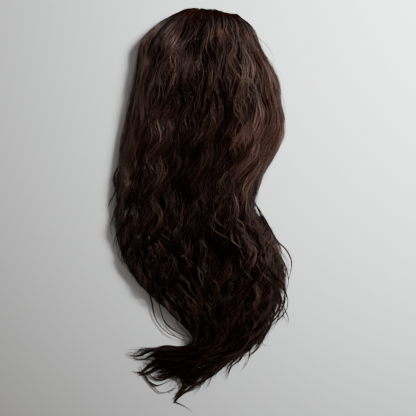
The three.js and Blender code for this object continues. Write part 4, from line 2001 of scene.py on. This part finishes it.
@dataclass
class Wisps:
    """The thin locks that have left the rest, and the single hairs that stand off its edges.

    Attributes:
        flow: The way the hair lies.
        seed: The start of its random draws.
        steps: How many sections a wisp's strand has.
        root: How thick a strand is at its root, as a share.
        full: The share of its length where it is at its thickest.
        wisp_tip: Where a wisp's strands thin towards their tips, and how much.
        loose_tip: The same for loose locks.
        flat: The depth of a strand over its width.
        flying: How many single hairs stand off each edge.
        flying_steps: How many sections each of those has.
        flying_edges: The nodes that they grow from, and the angles between which they lie there.
    """

    flow: Flow
    seed: int = 71
    steps: int = 34
    root: float = 0.25
    full: float = 0.15
    wisp_tip: Ramp = Ramp(0.6, 1.0, 0.85)
    loose_tip: Ramp = Ramp(0.6, 1.0, 0.8)
    flat: float = 0.8
    flying: int = 260
    flying_steps: int = 15
    flying_edges: tuple[tuple[str, Span], ...] = (
        ("right_weft_hair", (0.05, 0.6)),
        ("left_weft_hair", (2.55, 3.09)),
    )

    def _tubes(self, wisp: Wisp, draw: Draw) -> Tubes:
        """Makes tapering tubes for the strands of one wisp.

        Args:
            wisp: The wisp.
            draw: The random draws.

        Returns:
            The tubes.
        """
        path = np.array(wisp.path)
        place = (path - (*PICTURE_MIDDLE, 0)) * (SQUARE, -SQUARE, MM)
        count = wisp.strands
        reach = draw.uniform(0.82, 1.0, count)
        reach[0] = 1.0
        t = np.linspace(0, 1, self.steps)[None, :] * reach[:, None]
        points = through(place, t.reshape(-1) * (len(place) - 1)).reshape(count, self.steps, 3)
        outward = np.zeros_like(points)
        outward[..., 2] = 1.0
        side = unit(np.cross(unit(np.gradient(points, axis=1)), outward))
        spin = draw.uniform(0, TAU, count)[:, None] + TAU * draw.normal(0, 0.5, count)[:, None] * t
        radius = draw.uniform(0.2, 1.0, count)[:, None] * wisp.spread * MM * (1 - 0.75 * t**1.5)
        points = points + side * (radius * np.cos(spin))[..., None]
        points[..., 2] += 0.6 * radius * np.sin(spin)
        taper = tapered(t, self.root, self.full, self.wisp_tip)
        wide = wisp.thickness * MM * draw.uniform(0.7, 1.2, count)[:, None] * taper
        # Lighter towards the thin tips: painted light coming through them.
        tone = np.clip(draw.normal(0.36, 0.13, count)[:, None] + 0.4 * t, 0, 1)
        return Tubes(points, outward, wide, wide * self.flat, tone, 3)

    def _loose(self, kind: Loose, draw: Draw) -> Tubes:
        """Makes tapering tubes for loose locks over the hair, some of which end beyond its edge.

        Args:
            kind: Where they lie and how they curl.
            draw: The random draws.

        Returns:
            The tubes.
        """
        total = kind.locks * kind.each

        def of_lock(low: float, high: float) -> Array:
            """A value for each lock, shared by its strands."""
            return np.repeat(draw.uniform(low, high, kind.locks), kind.each)[:, None]

        share = np.linspace(0, 1, kind.steps)[None, :] * draw.uniform(0.8, 1.0, total)[:, None]
        run = of_lock(*kind.run) + of_lock(*kind.length) * share
        angle = kind.foot + of_lock(*kind.angle) * (1 - kind.falls * share) ** 1.4
        points, around, outward = self.flow.surface(run, angle)
        turn = TAU * run * self.flow.run_length / of_lock(0.034, 0.052) + of_lock(0, TAU)
        sway = of_lock(*kind.sway) * MM * np.sin(turn)
        spin = draw.uniform(0, TAU, total)[:, None] + 3 * share
        gather = draw.uniform(0.2, 2.4, total)[:, None] * MM * (1 - 0.7 * share**2)
        level = 1 - kind.falls * share
        out = of_lock(3, 16) * MM * kind.falls * share**2.5 + 1.3 * sway * (1 - level)
        out = out + (4.6 * smoothstep(share, 0, 0.25) - 3.2) * MM
        out = out + 0.6 * gather * np.sin(spin) + 1.2 * MM * np.cos(turn)
        aside = sway * level + gather * np.cos(spin)
        points = points + outward * out[..., None] + around * aside[..., None]
        taper = tapered(share, self.root, self.full, self.loose_tip)
        wide = draw.uniform(0.2, 0.36, total)[:, None] * MM * taper
        # Lighter towards the ends: painted light coming through the thin ends.
        tone = np.clip(draw.normal(kind.tone, 0.14, total)[:, None] + 0.2 * share, 0, 1)
        return Tubes(points, outward, wide, wide * self.flat, tone, 3)

    def _flying(self, low: float, high: float, draw: Draw) -> Tubes:
        """Makes tapering tubes for single hairs that bow out from an edge, at angles from low to high.

        Args:
            low: The lowest angle at which they lie.
            high: The highest.
            draw: The random draws.

        Returns:
            The tubes.
        """
        count = self.flying

        def own(least: float, most: float) -> Array:
            """A value for each hair."""
            return draw.uniform(least, most, count)[:, None]

        angle = own(low, high)
        start = draw.triangular(-0.01, 0.16, 0.88, count)[:, None]
        share = np.linspace(0, 1, self.flying_steps)[None, :]
        run = start + own(0.05, 0.14) * share
        points, around, outward = self.flow.surface(run, angle)
        along = run * self.flow.run_length
        bow = np.abs(draw.normal(0, 4.4, count))[:, None] * MM * np.sin(math.pi * share**1.3)
        sway = own(0.3, 1.6) * MM
        sway = sway * np.sin(TAU * along / own(0.025, 0.06) + start * 40)
        points = points + outward * (bow + 0.6 * MM)[..., None] + around * sway[..., None]
        wide = own(0.13, 0.22) * MM * (1 - 0.7 * share)
        tone = np.broadcast_to(own(0.4, 0.95), wide.shape)
        return Tubes(points, outward, wide, wide, tone, 3)

    def build(self, finish: Material) -> list[Object]:
        """Builds them all.

        Args:
            finish: Their finish.

        Returns:
            The pieces that it made.
        """
        draw = np.random.default_rng(self.seed)
        made = []

        def add(tubes: Tubes, name: str, node: str) -> None:
            """Adds the tubes as a piece that stands for a node."""
            made.append(declare(from_mesh(tubes.mesh(name)), finish, node))

        for number, wisp in enumerate(WISPS, 1):
            add(self._tubes(wisp, draw), f"wisp_{number}", wisp.node)
        for node, angles in self.flying_edges:
            add(self._flying(*angles, draw), f"{node.removesuffix('_weft_hair')}_flying", node)
        for kind in LOOSE_LOCKS:
            add(self._loose(kind, draw), kind.name, kind.node)
        return made


@dataclass
class Studio:
    """The pale surface, the soft light from the upper right and the camera straight above.

    Attributes:
        frame_width: How much of the surface the picture takes in, in metres.
        middle: The place on the surface in the middle of the picture.
        camera_height: How high the camera hangs.
        floor_size: The size of the surface.
        floor_colour: Its colour.
        window_place: Where the main light hangs.
        window_target: The place that it faces.
        window_power: How strong it is, in watts.
        window_size: Its radius.
        window_cone: How wide its cone opens, in degrees.
        window_colour: Its colour.
        ceiling_place: Where the broad light hangs.
        ceiling_target: The place that it faces.
        ceiling_power: How strong it is, in watts.
        ceiling_size: Its side.
        air_colour: The colour of the light from all round.
        air_strength: How strong that is.
    """

    frame_width: float = 0.541
    middle: tuple[float, float] = (0.00845, -0.0052)
    camera_height: float = 1.6
    floor_size: float = 6.0
    floor_colour: Colour = (0.78, 0.785, 0.79)
    window_place: Place = (1.0, 0.58, 0.98)
    window_target: Place = (0.57, 0.4, 0.0)
    window_power: float = 630.0
    window_size: float = 0.4
    window_cone: float = 62.0
    window_colour: Colour = (0.965, 0.985, 1.0)
    ceiling_place: Place = (0.5, 0.6, 1.9)
    ceiling_target: Place = (0.1, 0.1, 0.0)
    ceiling_power: float = 3.0
    ceiling_size: float = 1.6
    air_colour: Colour = (1.0, 0.92, 0.84)
    air_strength: float = 0.18

    def build(self) -> None:
        """Adds the camera, the floor and the lights."""
        self._camera()
        self._floor()
        self._lights()

    def _camera(self) -> None:
        """Hangs the camera over the hair, looking straight down."""
        camera = bpy.data.cameras.new("camera")
        camera.angle = 2 * math.atan(self.frame_width / 2 / self.camera_height)
        holder = bpy.data.objects.new("camera", camera)
        holder.location = (*self.middle, self.camera_height)
        bpy.context.scene.collection.objects.link(holder)
        bpy.context.scene.camera = holder

    def _floor(self) -> None:
        """Lays the pale surface."""
        deselect()
        bpy.ops.mesh.primitive_plane_add(size=self.floor_size, location=(0, 0, 0))
        floor = bpy.context.object
        floor.name = "floor"
        nodes = Nodes("pale_surface")
        nodes.shader.inputs["Base Color"].default_value = (*self.floor_colour, 1)
        nodes.shader.inputs["Roughness"].default_value = 0.85
        nodes.shader.inputs["Specular IOR Level"].default_value = 0.2
        floor.data.materials.append(nodes.material)

    def _hang(self, light: Light, place: Place, target: Place) -> None:
        """Hangs a light at a place, facing a target.

        Args:
            light: The light.
            place: The place.
            target: The target.
        """
        holder = bpy.data.objects.new(light.name, light)
        holder.location = place
        aim = Vector(target) - Vector(place)
        holder.rotation_euler = aim.to_track_quat("-Z", "Y").to_euler()
        bpy.context.scene.collection.objects.link(holder)

    def _lights(self) -> None:
        """Hangs the lights and sets the air round them."""
        window = bpy.data.lights.new("window", "SPOT")
        window.energy = self.window_power
        window.shadow_soft_size = self.window_size
        window.spot_size = math.radians(self.window_cone)
        window.spot_blend = 1.0
        window.color = self.window_colour
        self._hang(window, self.window_place, self.window_target)
        ceiling = bpy.data.lights.new("ceiling", "AREA")
        ceiling.energy = self.ceiling_power
        ceiling.size = self.ceiling_size
        self._hang(ceiling, self.ceiling_place, self.ceiling_target)
        world = bpy.data.worlds.new("air")
        world.use_nodes = True
        air = world.node_tree.nodes["Background"]
        air.inputs["Color"].default_value = (*self.air_colour, 1)
        air.inputs["Strength"].default_value = self.air_strength
        bpy.context.scene.world = world


def report(made: list[Object]) -> None:
    """Logs the triangles of each piece and of them all.

    Args:
        made: The pieces.
    """
    total = 0
    for piece in made:
        count = sum(len(face.vertices) - 2 for face in piece.data.polygons)
        total += count
        LOG.info("%s: %d triangles", piece.name, count)
    LOG.info("all pieces: %d triangles", total)


def main() -> None:
    """Builds everything in order and reports each piece."""
    logging.basicConfig(level=logging.INFO, format="%(message)s")
    Studio().build()
    flow = Flow()
    under = replace(flow, width_share=0.62, height_share=0.36)
    # The core is coloured darker than the hair's own brown, a painted shade for the hair deep inside it.
    dark = (0.0028, 0.0011, 0.0008)
    fibres = HairFinish("hair_fibres").material()
    hair = {
        Part.CORE: HairFinish("hair_core", brown=dark, warm=dark, gloss=0.04, roughness=0.9).material(),
        Part.LOCKS: HairFinish("hair_locks", streaks=9.0, gloss=0.28, roughness=0.5).material(),
        Part.LONG_FIBRES: fibres,
        Part.SHORT_FIBRES: fibres,
    }
    net = ClothFinish("net", (0.006, 0.004, 0.003), (0.03, 0.018, 0.013), 900.0, 0.0003).material()
    elastic = ClothFinish("elastic", (0.005, 0.003, 0.003), (0.02, 0.012, 0.01), 1400.0, 0.0002).material()
    cap = NetCap()
    made = cap.build(net)
    made += GatheredBand(cap).build(elastic)
    made += Comb().build(CombFinish("comb_plastic").material())
    made += Weft(
        under,
        "under_weft_hair",
        low=-0.98,
        high=0.98,
        bundles=22,
        groups=7,
        seed=53,
        locks_each=3,
        long_each=2,
        short_each=1,
        early=0.2,
        first_run=0.25,
        last_run=0.8,
    ).build(hair)
    wefts = (
        Weft(flow, "left_weft_hair", -1.0, -0.34, bundles=38, groups=11, seed=11),
        Weft(flow, "top_weft_hair", -0.34, 0.3, bundles=36, groups=9, seed=23, early=0.25),
        Weft(flow, "right_weft_hair", 0.3, 1.0, bundles=42, groups=12, seed=37, early=0.5, core_inset=0.009),
    )
    for weft in wefts:
        made += weft.build(hair)
    made += Wisps(flow).build(fibres)
    report(made)


if __name__ == "__main__":
    main()
